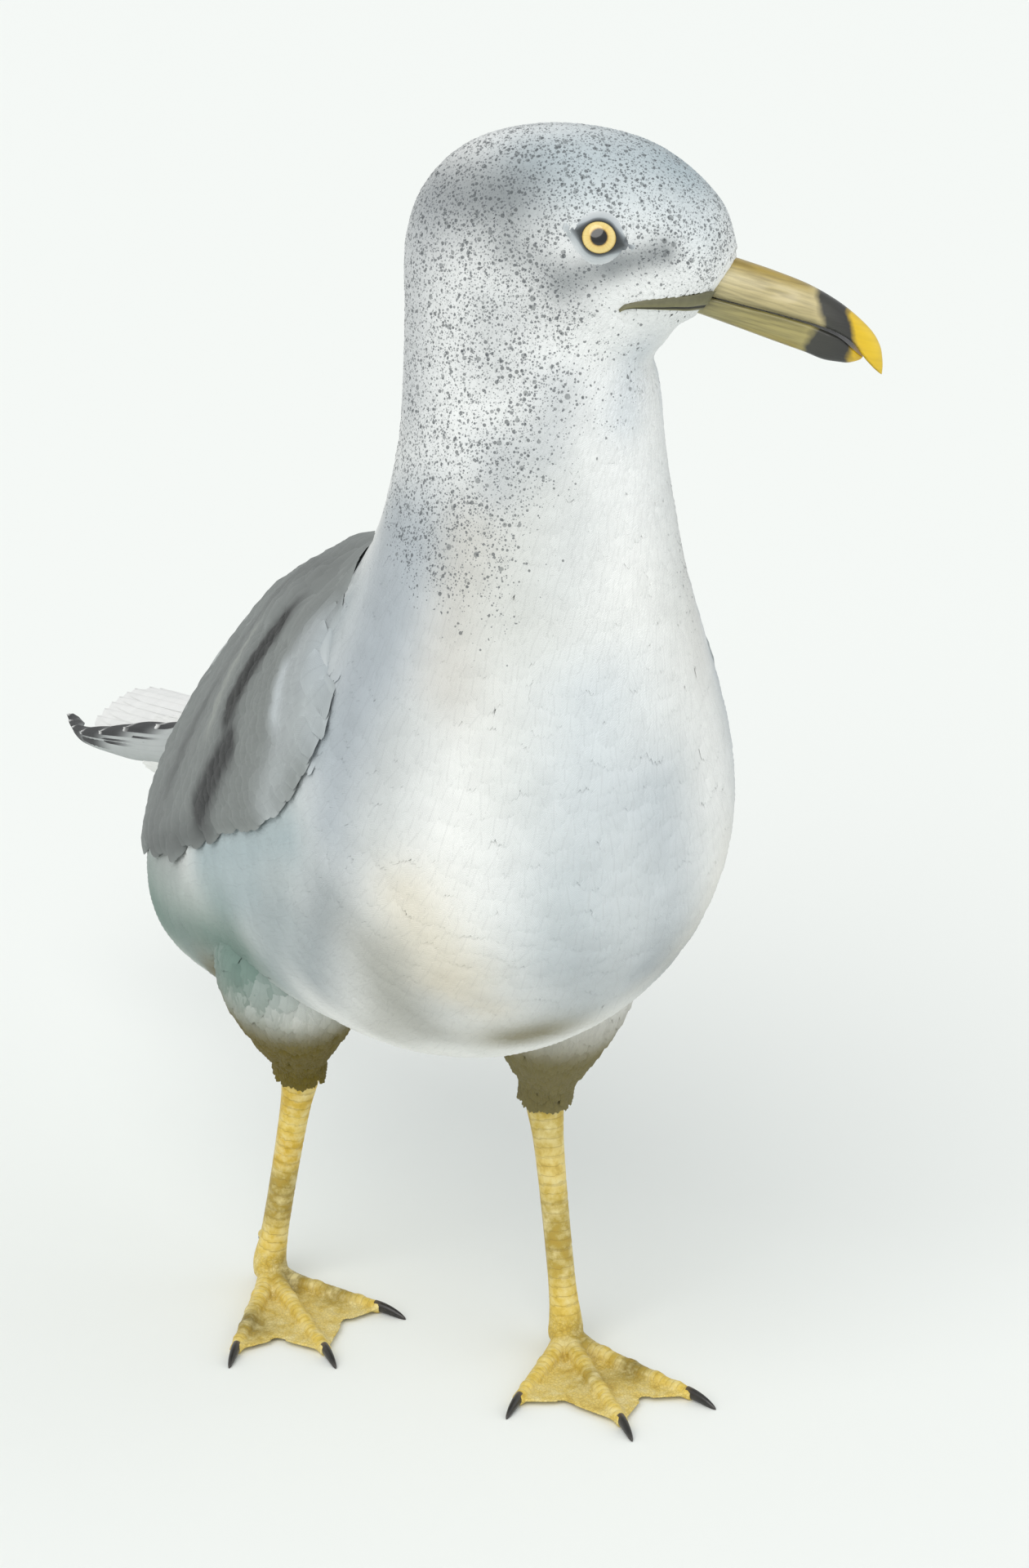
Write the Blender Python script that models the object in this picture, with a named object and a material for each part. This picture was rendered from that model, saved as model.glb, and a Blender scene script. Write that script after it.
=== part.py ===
"""Ring-billed gull, life size: a still figure standing in mid-step with its head turned to its left.

The bird faces -Y, its left side is +X, and the floor is z = 0. Lengths are in millimetres until a mesh
is made. The body is one surface, lofted between a back line and a belly line from the tail root to the
bill. It is parted into named pieces by thin cuts, and the folded wings lie on it as shells.
"""

import math

import bmesh
import bpy
import numpy as np
from mathutils import Matrix, Vector

MM = 0.001
GAP = 0.3  # the thin cut between neighbouring pieces

# ---- Driving dimensions, in millimetres and degrees -------------------------------------------------
HEAD_CENTRE = (-68.0, 276.0)  # (y, z) of the skull's middle before the head turns
HEAD_PITCH = 15.0  # bill below level
HEAD_YAW = 56.0  # the head's turn to the bird's left
TURN_AXIS_Y = -57.0  # the upright axis that the neck twists about
TURN_STATIONS = (6.0, 10.0)  # the neck twists between these

# One row for each cross-section: (y, z) on the back line, (y, z) on the belly line, half width, and how
# far the widest place sits above (+) or below (-) the middle.
TRUNK_STATIONS = (
    ((125, 120), (125, 96), 20, 0.00),  # tail root
    ((91, 158), (94, 68), 32.5, -0.58),  # vent
    ((53, 179), (47, 69.5), 41.5, -0.55),  # flank
    ((17, 194), (6, 79), 46, -0.28),  # belly
    ((-13, 205), (-50, 91), 48, -0.16),  # keel
    ((-25, 213), (-91, 123), 45.8, -0.08),  # breast
    ((-31, 223), (-100.5, 163), 36.5, 0.00),  # crop
    ((-31, 235), (-95, 200), 29.5, 0.00),  # neck base
    ((-31.5, 247), (-88.5, 226), 26.2, 0.00),  # neck
    ((-32, 259), (-85.5, 244), 24.4, 0.00),  # throat
)
# The same for the head, as (forward, up) from HEAD_CENTRE along and across the line of the bill.
HEAD_STATIONS = (
    ((-34, -10), (22, -21), 22.6, -0.04),  # nape
    ((-32.3, 2.5), (23.5, -16.8), 22.0, -0.08),  # hind crown
    ((-24, 13.4), (24.5, -14), 21.2, -0.10),  # crown
    ((-8.5, 20.6), (25.5, -12.2), 19.8, -0.12),  # eye
    ((10, 21.9), (26.5, -11), 17.6, -0.12),  # brow
    ((25.8, 15.2), (27.5, -10), 13.0, -0.08),  # forehead
    ((33.5, 4.8), (28.8, -8.8), 6.6, 0.00),  # bill root
)
# Behind the tail root the wings go on along a body that isn't there: its sections, nearest first.
GHOST_STATIONS = (
    ((158, 112), (158, 90), 21, 0.00),
    ((194, 104), (194, 85), 21.5, 0.00),
    ((234, 94), (234, 84), 14, 0.00),
)

CUTS = {"rump": 1.2, "back": 5.0, "breast": 6.9, "neck": 9.6}  # each piece's front end, as a station
BACK_EDGE = 62.0  # degrees from the middle of the back to the cut between back and belly

EYE_RADIUS = 7.0
EYE_PLACE = (7.0, 4.9)  # (forward, up) in the head
EYE_DEPTH = 5.5  # the ball's centre below the face

# forward of the head's front, top and bottom, half width
UPPER_BILL = (
    (GAP, 4.4, -3.4, 5.4),
    (7.5, 4.2, -3.2, 4.9),
    (15.5, 3.6, -3.0, 4.2),
    (22.6, 2.1, -3.1, 3.5),
    (28.5, -0.1, -4.3, 2.9),
    (32.8, -2.7, -7.4, 2.4),
    (36, -6.8, -9.8, 1.1),
)
LOWER_BILL = (
    (GAP, -3.8, -8.7, 5.0),
    (7, -3.6, -9.1, 4.5),
    (14.6, -3.4, -9.6, 3.8),
    (20.8, -3.6, -9.9, 3.3),
    (26.4, -4.5, -9.9, 2.8),
    (31.3, -7.4, -9.2, 1.5),
)

# A folded wing, by station: degrees from the middle of the back to its upper and its lower edge, and
# its thickness. The wrist is at the first row and the longest flight feather's tip at the last.
WING_STATIONS = (
    (5.35, 66, 76, 1.0),
    (5.1, 56, 82, 3.0),
    (4.7, 47, 86, 4.2),
    (4.0, 37, 90, 5.0),
    (3.0, 26, 96, 5.0),
    (2.0, 15, 103, 4.2),
    (1.0, 7, 109, 2.9),
    (0.0, 9, 112, 2.3),
    (-1.0, 38, 110, 2.4),
    (-2.0, 64, 106, 1.8),
    (-3.0, 82, 98, 1.0),
)
WING_LIFT = 0.8  # clear of the body, whose facets the wing's inner facets mustn't touch
WING_EDGE = 0.7  # thickness along its edges
PRIMARIES_FROM = 0.35  # station where the dark flight feathers come out from under the wing

TAIL_FROM, TAIL_TIP = 125.0 + GAP, 207.0
TAIL_TOP = (119.0, 102.0)  # height of its upper face at the root and at the tip
TAIL_DEPTH = (22.0, 1.0)  # with the coverts above and below it, and at the tip
TAIL_HALF_WIDTH = (15.5, 17.5)
TAIL_CAMBER = (7.5, 6.0)  # how far its edges hang below its middle, at the root and at the tip

# Each leg: knee inside the belly, heel joint, where the foot's middle stands, and its turn inwards.
LEGS = {
    "left": {"knee": (24.5, -20, 101), "heel": (25, -11, 61), "foot": (27.5, -18), "toe_in": 6.0},
    "right": {"knee": (-26.5, 16, 98), "heel": (-20, 31, 59), "foot": (-24.5, 42.5), "toe_in": -2.0},
}
THIGH_SHARES = (-0.40, -0.34, -0.24, -0.10, 0.08, 0.30, 0.60, 0.86)  # of the way from knee to heel
THIGH_RADII = (4.0, 9.2, 14.0, 17.6, 18.8, 17.6, 12.5, 6.8)
# The bare leg: shares of the way and radii, down to the heel joint and from there down the tarsus.
TIBIA_SHARES, TIBIA_RADII = (0.0, 0.5, 1.0), (3.5, 3.8, 4.8)
TARSUS_SHARES, TARSUS_RADII = (0.16, 0.4, 0.7, 0.88, 1.0), (3.8, 3.4, 3.3, 3.5, 4.3)

# Toes, inner to outer: degrees from the foot's line towards the outer side, length without its claw.
TOES = {"inner": (-38.0, 32.0), "middle": (0.0, 42.5), "outer": (30.0, 39.5)}
TOE_HEIGHT, TOE_HALF_WIDTH = 4.6, 2.5  # at its root
TOE_TAPER = 0.45  # how much of that is lost by its tip
TOE_SPREAD = (-13, -6, -2.4, 0, 2.4, 6, 13)  # degrees from a toe's middle where the mesh is cut
REAR_SPREAD = (60, 85, 120, 150, 180, 210, 240, 275, 300)  # the same round the back of the hub
FOOT_SHARES = (0.0, 0.12, 0.24, 0.4, 0.56, 0.72, 0.86, 0.95, 1.0)  # from the hub's middle to the edge
WEB_THICKNESS, WEB_LIFT = 1.1, 0.5
WEB_SCALLOP = 0.26  # how far the web's edge is drawn in between two toes
HUB_RADIUS, HUB_HEIGHT = 5.2, 7.0
CLAW_LENGTH, CLAW_RADIUS, CLAW_HEIGHT, CLAW_DROP = 7.0, 1.35, 2.0, 1.6
HALLUX_HEIGHT, HALLUX_LENGTH, HALLUX_DROP = 11.5, 5.0, 1.5
HALLUX_RADII = (1.1, 1.5, 1.6, 1.5, 1.35, 1.05)
HALLUX_CLAW_LENGTH, HALLUX_CLAW_RADIUS, HALLUX_CLAW_DROP = 3.0, 0.8, 1.2

WHITE = ("#E9ECEC", 0.75)
GREY = ("#9A9F9D", 0.7)
BLACK = ("#26272A", 0.55)
SPECKLED = ("#D5D9D9", 0.75)
STAINED = ("#B9AE93", 0.8)
LEG_YELLOW = ("#CDB04B", 0.5)
BILL_YELLOW = ("#C2AC5C", 0.35)
EYE_YELLOW = ("#E0BE5E", 0.1)
HORN_BLACK = ("#2B2A28", 0.4)


# ---- The body's surface -----------------------------------------------------------------------------
def along_bill(forward, up):
    """(y, z) of a point of the head's middle plane, given along and across the line of the bill."""
    pitch = math.radians(HEAD_PITCH)
    y = HEAD_CENTRE[0] - forward * math.cos(pitch) - up * math.sin(pitch)
    z = HEAD_CENTRE[1] - forward * math.sin(pitch) + up * math.cos(pitch)
    return y, z


def station_rows():
    """Every station as a row (back y, back z, belly y, belly z, half width, shift), tail end first."""
    behind = [(*back, *belly, width, shift) for back, belly, width, shift in reversed(GHOST_STATIONS)]
    trunk = [(*back, *belly, width, shift) for back, belly, width, shift in TRUNK_STATIONS]
    head = [
        (*along_bill(*back), *along_bill(*belly), width, shift) for back, belly, width, shift in HEAD_STATIONS
    ]
    return np.array(behind + trunk + head, float)


ROWS = station_rows()
BILL_ROOT = len(TRUNK_STATIONS) + len(HEAD_STATIONS) - 1


def between(rows, place):
    """Rows read at fractional places, on a smooth curve through them (Catmull-Rom)."""
    place = np.clip(np.asarray(place, float), 0, len(rows) - 1)
    k = np.minimum(place.astype(int), len(rows) - 2)
    t = (place - k)[..., None]
    padded = np.vstack([2 * rows[0] - rows[1], rows, 2 * rows[-1] - rows[-2]])
    a, b, c, d = (padded[k + i] for i in range(4))
    return 0.5 * (2 * b + (c - a) * t + (2 * a - 5 * b + 4 * c - d) * t**2 + (3 * b - a - 3 * c + d) * t**3)


def smooth_step(x):
    x = np.clip(x, 0, 1)
    return x * x * (3 - 2 * x)


def turned(points, angle):
    """Points turned about the neck's upright axis, by an angle for each point."""
    x, y = points[..., 0], points[..., 1] - TURN_AXIS_Y
    c, s = np.cos(angle), np.sin(angle)
    return np.stack([x * c - y * s, x * s + y * c + TURN_AXIS_Y, points[..., 2]], -1)


def unturned(points, axis_y):
    """Points or directions of the head as they are before it turns. A direction has its axis at 0."""
    angle = math.radians(HEAD_YAW)
    x, y = points[..., 0], points[..., 1] - axis_y
    c, s = math.cos(angle), math.sin(angle)
    return np.stack([x * c + y * s, y * c - x * s + axis_y, points[..., 2]], -1)


def body_point(station, degrees):
    """The body's surface: an oval between back and belly line. 0 degrees is the back, 90 the left side."""
    station, degrees = np.broadcast_arrays(np.asarray(station, float), np.asarray(degrees, float))
    row = between(ROWS, station + len(GHOST_STATIONS))
    phi = np.radians(degrees)
    up = np.cos(phi)
    side = row[..., 4] * np.sin(phi) * (1 + row[..., 5] * up)
    y = row[..., 2] + (row[..., 0] - row[..., 2]) * (1 + up) / 2
    z = row[..., 3] + (row[..., 1] - row[..., 3]) * (1 + up) / 2
    first, last = TURN_STATIONS
    angle = math.radians(HEAD_YAW) * smooth_step((station - first) / (last - first))
    return turned(np.stack([side, y, z], -1), angle)


def body_normal(station, degrees):
    """The surface's outward direction, from two short steps along it."""
    along = body_point(station + 0.02, degrees) - body_point(station - 0.02, degrees)
    around = body_point(station, degrees + 1.0) - body_point(station, degrees - 1.0)
    normal = np.cross(along, around)
    return normal / np.linalg.norm(normal, axis=-1, keepdims=True)


def in_head(forward, side, up):
    """A point given in the head's own directions, with the head turned."""
    y, z = along_bill(np.asarray(forward, float), np.asarray(up, float))
    side = np.broadcast_to(np.asarray(side, float), np.shape(y))
    return turned(np.stack([side, y, z], -1), math.radians(HEAD_YAW))


# ---- Making meshes ----------------------------------------------------------------------------------
def colour(name, look):
    """A Principled material from a hex colour and a roughness."""
    code, roughness = look
    found = bpy.data.materials.get(name)
    if found:
        return found
    material = bpy.data.materials.new(name)
    material.use_nodes = True
    srgb = [int(code[i : i + 2], 16) / 255 for i in (1, 3, 5)]
    linear = [c / 12.92 if c <= 0.04045 else ((c + 0.055) / 1.055) ** 2.4 for c in srgb]
    shader = material.node_tree.nodes["Principled BSDF"]
    shader.inputs["Base Color"].default_value = (*linear, 1)
    shader.inputs["Roughness"].default_value = roughness
    shader.inputs["Metallic"].default_value = 0.0
    material.diffuse_color = (*linear, 1)
    return material


def mesh_object(name, points, faces, look, collection):
    """One closed body from points in millimetres, its faces turned outwards."""
    mesh = bpy.data.meshes.new(name)
    mesh.from_pydata([tuple(p * MM) for p in np.asarray(points)], [], faces)
    work = bmesh.new()
    work.from_mesh(mesh)
    bmesh.ops.remove_doubles(work, verts=work.verts, dist=1e-6)
    bmesh.ops.recalc_face_normals(work, faces=work.faces)
    work.to_mesh(mesh)
    work.free()
    obj = bpy.data.objects.new(name, mesh)
    mesh.materials.append(colour(*look))
    mesh.shade_smooth()
    mesh.set_sharp_from_angle(angle=math.radians(50))
    collection.objects.link(obj)
    return obj


def loft(name, rings, look, collection):
    """A skin over rings of the same number of points, closed by a flat face at each end."""
    rows, count = rings.shape[:2]
    faces = [
        (r * count + i, r * count + (i + 1) % count, (r + 1) * count + (i + 1) % count, (r + 1) * count + i)
        for r in range(rows - 1)
        for i in range(count)
    ]
    faces += [tuple(range(count)), tuple((rows - 1) * count + i for i in range(count))]
    return mesh_object(name, rings.reshape(-1, 3), faces, look, collection)


def shell(name, outer, inner, look, collection):
    """A closed sheet between two grids of points, joined round their border."""
    rows, columns = outer.shape[:2]
    count = rows * columns

    def index(row, column, layer):
        return layer * count + row * columns + column

    faces = [
        (index(r, c, layer), index(r, c + 1, layer), index(r + 1, c + 1, layer), index(r + 1, c, layer))
        for layer in (0, 1)
        for r in range(rows - 1)
        for c in range(columns - 1)
    ]
    border = [(0, c) for c in range(columns - 1)] + [(r, columns - 1) for r in range(rows - 1)]
    border += [(rows - 1, c) for c in range(columns - 1, 0, -1)] + [(r, 0) for r in range(rows - 1, 0, -1)]
    for (r0, c0), (r1, c1) in zip(border, border[1:] + border[:1]):
        faces.append((index(r0, c0, 0), index(r1, c1, 0), index(r1, c1, 1), index(r0, c0, 1)))
    return mesh_object(name, np.concatenate([outer, inner]).reshape(-1, 3), faces, look, collection)


def tube(name, points, radii, look, collection, resolution=3):
    """A round piece along a line of points with a radius at each, closed at both ends."""
    curve = bpy.data.curves.new(name, "CURVE")
    curve.dimensions = "3D"
    curve.bevel_depth = MM
    curve.bevel_resolution = resolution
    curve.use_fill_caps = True
    spline = curve.splines.new("POLY")
    spline.points.add(len(points) - 1)
    for spot, place, radius in zip(spline.points, points, radii):
        spot.co = (*(np.asarray(place) * MM), 1)
        spot.radius = radius
    curve.materials.append(colour(*look))
    obj = bpy.data.objects.new(name, curve)
    collection.objects.link(obj)
    return obj


def as_mesh(obj, collection):
    """A curve object made a mesh with welded caps, in the curve's place."""
    bpy.context.view_layer.update()
    name = obj.name
    mesh = bpy.data.meshes.new_from_object(obj.evaluated_get(bpy.context.evaluated_depsgraph_get()))
    work = bmesh.new()
    work.from_mesh(mesh)
    bmesh.ops.remove_doubles(work, verts=work.verts, dist=1e-6)
    bmesh.ops.recalc_face_normals(work, faces=work.faces)
    work.to_mesh(mesh)
    work.free()
    bpy.data.objects.remove(obj)
    made = bpy.data.objects.new(name, mesh)
    collection.objects.link(made)
    return made


def cut(obj, cutter):
    """Takes the cutter's shape out of the object."""
    cutter.hide_render = True
    cutter.display_type = "WIRE"
    boolean = obj.modifiers.new("cut_" + cutter.name, "BOOLEAN")
    boolean.operation = "DIFFERENCE"
    boolean.object = cutter


# ---- Pieces of the body -----------------------------------------------------------------------------
def station_gap(station, degrees=90.0):
    """The thin cut's half width as a step in station."""
    step = 0.01
    length = np.linalg.norm(body_point(station + step, degrees) - body_point(station - step, degrees))
    return 0.5 * GAP * 2 * step / length


def rings_between(start, end, count, degrees):
    """Rings of the body's surface with a thin cut left free at both ends."""
    stations = np.linspace(start, end, count)
    return body_point(stations[:, None], np.asarray(degrees)[None, :])


def whole_ring(count=32):
    return np.linspace(0, 360, count, endpoint=False)


def make_body(parts):
    rump, back, breast, neck = (CUTS[k] for k in ("rump", "back", "breast", "neck"))
    white, speckled = ("plumage_white", WHITE), ("plumage_speckled", SPECKLED)
    grey = ("plumage_grey", GREY)
    ring = whole_ring()
    loft("rump", rings_between(0, rump - station_gap(rump), 4, ring), white, parts)
    first, last = rump + station_gap(rump), back - station_gap(back)
    arc = np.linspace(-BACK_EDGE, BACK_EDGE, 13)
    loft("back", rings_between(first, last, 11, arc), grey, parts)
    cut_width = math.degrees(GAP / TRUNK_STATIONS[3][2])
    arc = np.linspace(BACK_EDGE + cut_width, 360 - BACK_EDGE - cut_width, 23)
    belly = loft("belly", rings_between(first, last, 11, arc), white, parts)
    ends = back + station_gap(back), breast - station_gap(breast)
    loft("breast", rings_between(*ends, 6, ring), white, parts)
    ends = breast + station_gap(breast), neck - station_gap(neck)
    loft("neck", rings_between(*ends, 7, ring), speckled, parts)
    ends = neck + station_gap(neck), BILL_ROOT
    head = loft("head", rings_between(*ends, 16, ring), speckled, parts)
    return belly, head


def eye_centre(side):
    """The eyeball's centre, set in from the face at EYE_PLACE. side is 1 for the left eye."""
    y, z = along_bill(*EYE_PLACE)
    stations, degrees = np.meshgrid(np.linspace(11, 15, 161), np.linspace(20, 150, 261), indexing="ij")
    face, outward = body_point(stations, degrees), body_normal(stations, degrees)
    face, outward = unturned(face, TURN_AXIS_Y), unturned(outward, 0.0)
    nearest = np.hypot(face[..., 1] - y, face[..., 2] - z).argmin()
    centre = face.reshape(-1, 3)[nearest] - EYE_DEPTH * outward.reshape(-1, 3)[nearest]
    return turned(centre * (side, 1, 1), math.radians(HEAD_YAW))


def ball(name, centre, radius, collection, look=None, segments=18, rings=10):
    work = bmesh.new()
    place = Matrix.Translation(Vector(centre * MM))
    bmesh.ops.create_uvsphere(work, u_segments=segments, v_segments=rings, radius=radius * MM, matrix=place)
    mesh = bpy.data.meshes.new(name)
    work.to_mesh(mesh)
    work.free()
    mesh.shade_smooth()
    if look:
        mesh.materials.append(colour(*look))
    obj = bpy.data.objects.new(name, mesh)
    collection.objects.link(obj)
    return obj


def make_eyes(head, parts, helpers):
    for name, side in (("left", 1), ("right", -1)):
        centre = eye_centre(side)
        ball("eye_" + name, centre, EYE_RADIUS, parts, ("eye", EYE_YELLOW))
        cut(head, ball("socket_" + name, centre, EYE_RADIUS + GAP, helpers))


def bill_rings(rows, flat_top):
    """Rings across a mandible: round on one side and flat along the mouth line.

    The first ring leans like the front of the head, and the others lean less and less."""
    rows = between(np.array(rows, float), np.linspace(0, len(rows) - 1, 2 * len(rows) - 1))
    up = np.cos(np.linspace(0, 2 * math.pi, 16, endpoint=False))
    out = np.sin(np.linspace(0, 2 * math.pi, 16, endpoint=False))
    (top_forward, top_up), (low_forward, low_up) = HEAD_STATIONS[-1][:2]
    lean = (top_forward - low_forward) / (top_up - low_up)
    start = low_forward - lean * low_up
    rings = []
    for share, (forward, top, bottom, width) in zip(np.linspace(0, 1, len(rows)), rows):
        depth = top - bottom
        round_part = depth * np.maximum(0, -up if flat_top else up) ** 0.9
        height = top - round_part if flat_top else bottom + round_part
        rings.append(in_head(start + forward + lean * height * (1 - share), width * out, height))
    return np.array(rings)


def make_bill(parts):
    look = ("bill", BILL_YELLOW)
    loft("bill_upper", bill_rings(UPPER_BILL, flat_top=False), look, parts)
    loft("bill_lower", bill_rings(LOWER_BILL, flat_top=True), look, parts)


# ---- Wings and tail ---------------------------------------------------------------------------------
def wing_grids(side, start, end, rows, columns=9):
    """Outer and inner grid of a wing between two stations, thickest along its middle."""
    table = np.array(WING_STATIONS, float)[::-1]
    stations = np.linspace(start, end, rows)
    upper, lower, thickness = (np.interp(stations, table[:, 0], table[:, i]) for i in (1, 2, 3))
    across = np.linspace(0, 1, columns)
    degrees = upper[:, None] + (lower - upper)[:, None] * across[None, :]
    places = np.broadcast_to(stations[:, None], degrees.shape)
    surface, normal = body_point(places, degrees), body_normal(places, degrees)
    swell = np.sin(np.pi * across) ** 0.7
    depth = WING_EDGE + np.maximum(0, thickness[:, None] - WING_EDGE) * swell[None, :]
    inner = surface + WING_LIFT * normal
    outer = surface + (WING_LIFT + depth)[..., None] * normal
    mirror = np.array([side, 1, 1])
    return outer * mirror, inner * mirror


def make_wings(parts):
    wrist, tip = WING_STATIONS[0][0], WING_STATIONS[-1][0]
    half_gap = station_gap(PRIMARIES_FROM)
    for name, side in (("left", 1), ("right", -1)):
        grids = wing_grids(side, wrist, PRIMARIES_FROM + half_gap, 16)
        shell("wing_" + name, *grids, ("plumage_grey", GREY), parts)
        grids = wing_grids(side, PRIMARIES_FROM - half_gap, tip, 10, columns=7)
        shell("primaries_" + name, *grids, ("plumage_black", BLACK), parts)


def make_tail(parts):
    """A closed fan: thick with coverts at its root, thin and a little rounded at its end."""
    rows, columns = 9, 13
    share = np.linspace(0, 1, rows)[:, None]
    across = np.linspace(-1, 1, columns)[None, :]
    half_width = TAIL_HALF_WIDTH[0] + (TAIL_HALF_WIDTH[1] - TAIL_HALF_WIDTH[0]) * share
    x = half_width * across
    y = TAIL_FROM + (TAIL_TIP - TAIL_FROM) * share - 5.0 * share**4 * across**2
    camber = TAIL_CAMBER[0] + (TAIL_CAMBER[1] - TAIL_CAMBER[0]) * share
    top = TAIL_TOP[0] + (TAIL_TOP[1] - TAIL_TOP[0]) * share - camber * across**2
    swell = (1 - share) ** 1.6 * np.sqrt(np.maximum(0, 1 - across**2))
    depth = TAIL_DEPTH[1] + (TAIL_DEPTH[0] - TAIL_DEPTH[1]) * swell
    x, y, top, depth = np.broadcast_arrays(x, y, top, depth)
    upper, lower = np.stack([x, y, top], -1), np.stack([x, y, top - depth], -1)
    shell("tail", upper, lower, ("plumage_white", WHITE), parts)


# ---- Legs and feet ----------------------------------------------------------------------------------
def thigh_points(leg, grow=0.0):
    """The feathered thigh's line and radii, as an egg that narrows to the bare leg."""
    knee, heel = (np.array(leg[k], float) for k in ("knee", "heel"))
    shares = np.array(THIGH_SHARES)
    shares[0] -= grow / np.linalg.norm(heel - knee)
    return knee + shares[:, None] * (heel - knee), np.array(THIGH_RADII) + grow


def shank_points(leg):
    """The bare leg: from the feathers down to the heel joint, then the tarsus down to the foot."""
    knee, heel, foot = (np.array(leg[k], float) for k in ("knee", "heel", "foot"))
    start = knee + THIGH_SHARES[-1] * (heel - knee)
    down = (heel - start) / np.linalg.norm(heel - start)
    start = start + down * GAP
    bottom = np.array([foot[0], foot[1], HUB_HEIGHT + GAP])
    points = [start + share * (heel - start) for share in TIBIA_SHARES]
    points += [heel + share * (bottom - heel) for share in TARSUS_SHARES]
    return points


def toe_angles(leg, side):
    """Each toe's direction as an angle from +X, for a foot that points to -Y."""
    return {name: math.radians(-90 + side * (degrees - leg["toe_in"])) for name, (degrees, _) in TOES.items()}


def foot_directions(angles):
    """The directions from the hub in which the foot's mesh is cut: close together along each toe."""
    middle = angles["middle"]
    found = [a + math.radians(d) for a in angles.values() for d in TOE_SPREAD]
    found += [middle + math.radians(d) for d in REAR_SPREAD]
    turns = sorted({round((d - middle + math.pi) % (2 * math.pi), 6) for d in found})
    return np.array(turns) - math.pi + middle


def foot_reach(angles, directions):
    """How far the foot goes in each direction: to the scalloped web's edge, a toe's side or the hub's."""
    reach = np.full(len(directions), HUB_RADIUS)
    order = sorted(angles, key=angles.get)
    for low, high in zip(order, order[1:]):
        share = (directions - angles[low]) / (angles[high] - angles[low])
        edge = TOES[low][1] + (TOES[high][1] - TOES[low][1]) * share
        edge = edge * (1 - WEB_SCALLOP * np.sin(np.pi * np.clip(share, 0, 1)) ** 0.75)
        reach = np.where((share >= 0) & (share <= 1), edge, reach)
    outside = (directions < angles[order[0]]) | (directions > angles[order[-1]])
    for name in (order[0], order[-1]):
        off = np.minimum(np.abs(directions - angles[name]), math.pi / 2)
        toe_side = np.minimum(TOE_HALF_WIDTH / np.maximum(np.sin(off), 1e-3), TOES[name][1])
        reach = np.where(outside, np.maximum(reach, toe_side), reach)
    return reach


def foot_grids(leg, side):
    """Upper and lower grid of a webbed foot, in rings round its hub. The soles of toes and hub are flat."""
    angles = toe_angles(leg, side)
    directions = foot_directions(angles)
    radius = np.array(FOOT_SHARES)[:, None] * foot_reach(angles, directions)[None, :]
    x, y = radius * np.cos(directions), radius * np.sin(directions)
    web = WEB_LIFT + WEB_THICKNESS
    height, sole = np.full(radius.shape, web), np.full(radius.shape, WEB_LIFT)
    for name, angle in angles.items():
        forward = x * math.cos(angle) + y * math.sin(angle)
        off = y * math.cos(angle) - x * math.sin(angle)
        taper = 1 - TOE_TAPER * np.clip(forward / TOES[name][1], 0, 1)
        half_width = TOE_HALF_WIDTH * (0.6 + 0.4 * taper)
        ridge = np.sqrt(np.clip(1 - (off / half_width) ** 2, 0, 1)) * (forward > -1)
        height = np.maximum(height, web + (TOE_HEIGHT * taper - WEB_THICKNESS) * ridge)
        sole = np.where(ridge > 0.05, 0.0, sole)
    hub = np.sqrt(np.clip(1 - (radius / (HUB_RADIUS * 1.5)) ** 2, 0, 1))
    height = np.maximum(height, HUB_HEIGHT * hub)
    sole = np.where(radius <= HUB_RADIUS * 1.01, 0.0, sole)
    foot = np.array([leg["foot"][0], leg["foot"][1], 0.0])
    return foot + np.stack([x, y, height], -1), foot + np.stack([x, y, sole], -1)


def disc(name, upper, lower, look, collection):
    """A closed body from two grids of rings round a middle point. Their first ring is that point."""
    rings, count = upper.shape[:2]
    points = [upper[0, 0], lower[0, 0], *upper[1:].reshape(-1, 3), *lower[1:].reshape(-1, 3)]
    layer = (rings - 1) * count
    faces = []
    for base, hub in ((2, 0), (2 + layer, 1)):
        for i in range(count):
            j = (i + 1) % count
            faces.append((hub, base + i, base + j))
            for r in range(rings - 2):
                a, b = base + r * count, base + (r + 1) * count
                faces.append((a + i, b + i, b + j, a + j))
    rim = (rings - 2) * count
    for i in range(count):
        j = (i + 1) % count
        faces.append((2 + rim + i, 2 + rim + j, 2 + layer + rim + j, 2 + layer + rim + i))
    return mesh_object(name, np.array(points), faces, look, collection)


def drooping_line(start, direction, length, drop, count=6):
    """A line that sets off level and curves down to its tip."""
    share = np.linspace(0, 1, count)[:, None]
    return start + direction * length * share + np.array([0, 0, -1.0]) * drop * share**2


def claw_radii(radius, count=6):
    return radius * np.sqrt(np.linspace(1, 0.02, count))


def make_claws(name, leg, side, parts):
    """A claw in front of each toe."""
    horn = ("claw", HORN_BLACK)
    for toe, angle in toe_angles(leg, side).items():
        direction = np.array([math.cos(angle), math.sin(angle), 0.0])
        start = np.array([leg["foot"][0], leg["foot"][1], CLAW_HEIGHT]) + direction * (TOES[toe][1] + GAP)
        line = drooping_line(start, direction, CLAW_LENGTH, CLAW_DROP)
        as_mesh(tube(f"claw_{name}_{toe}", line, claw_radii(CLAW_RADIUS), horn, parts, 2), parts)


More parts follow.
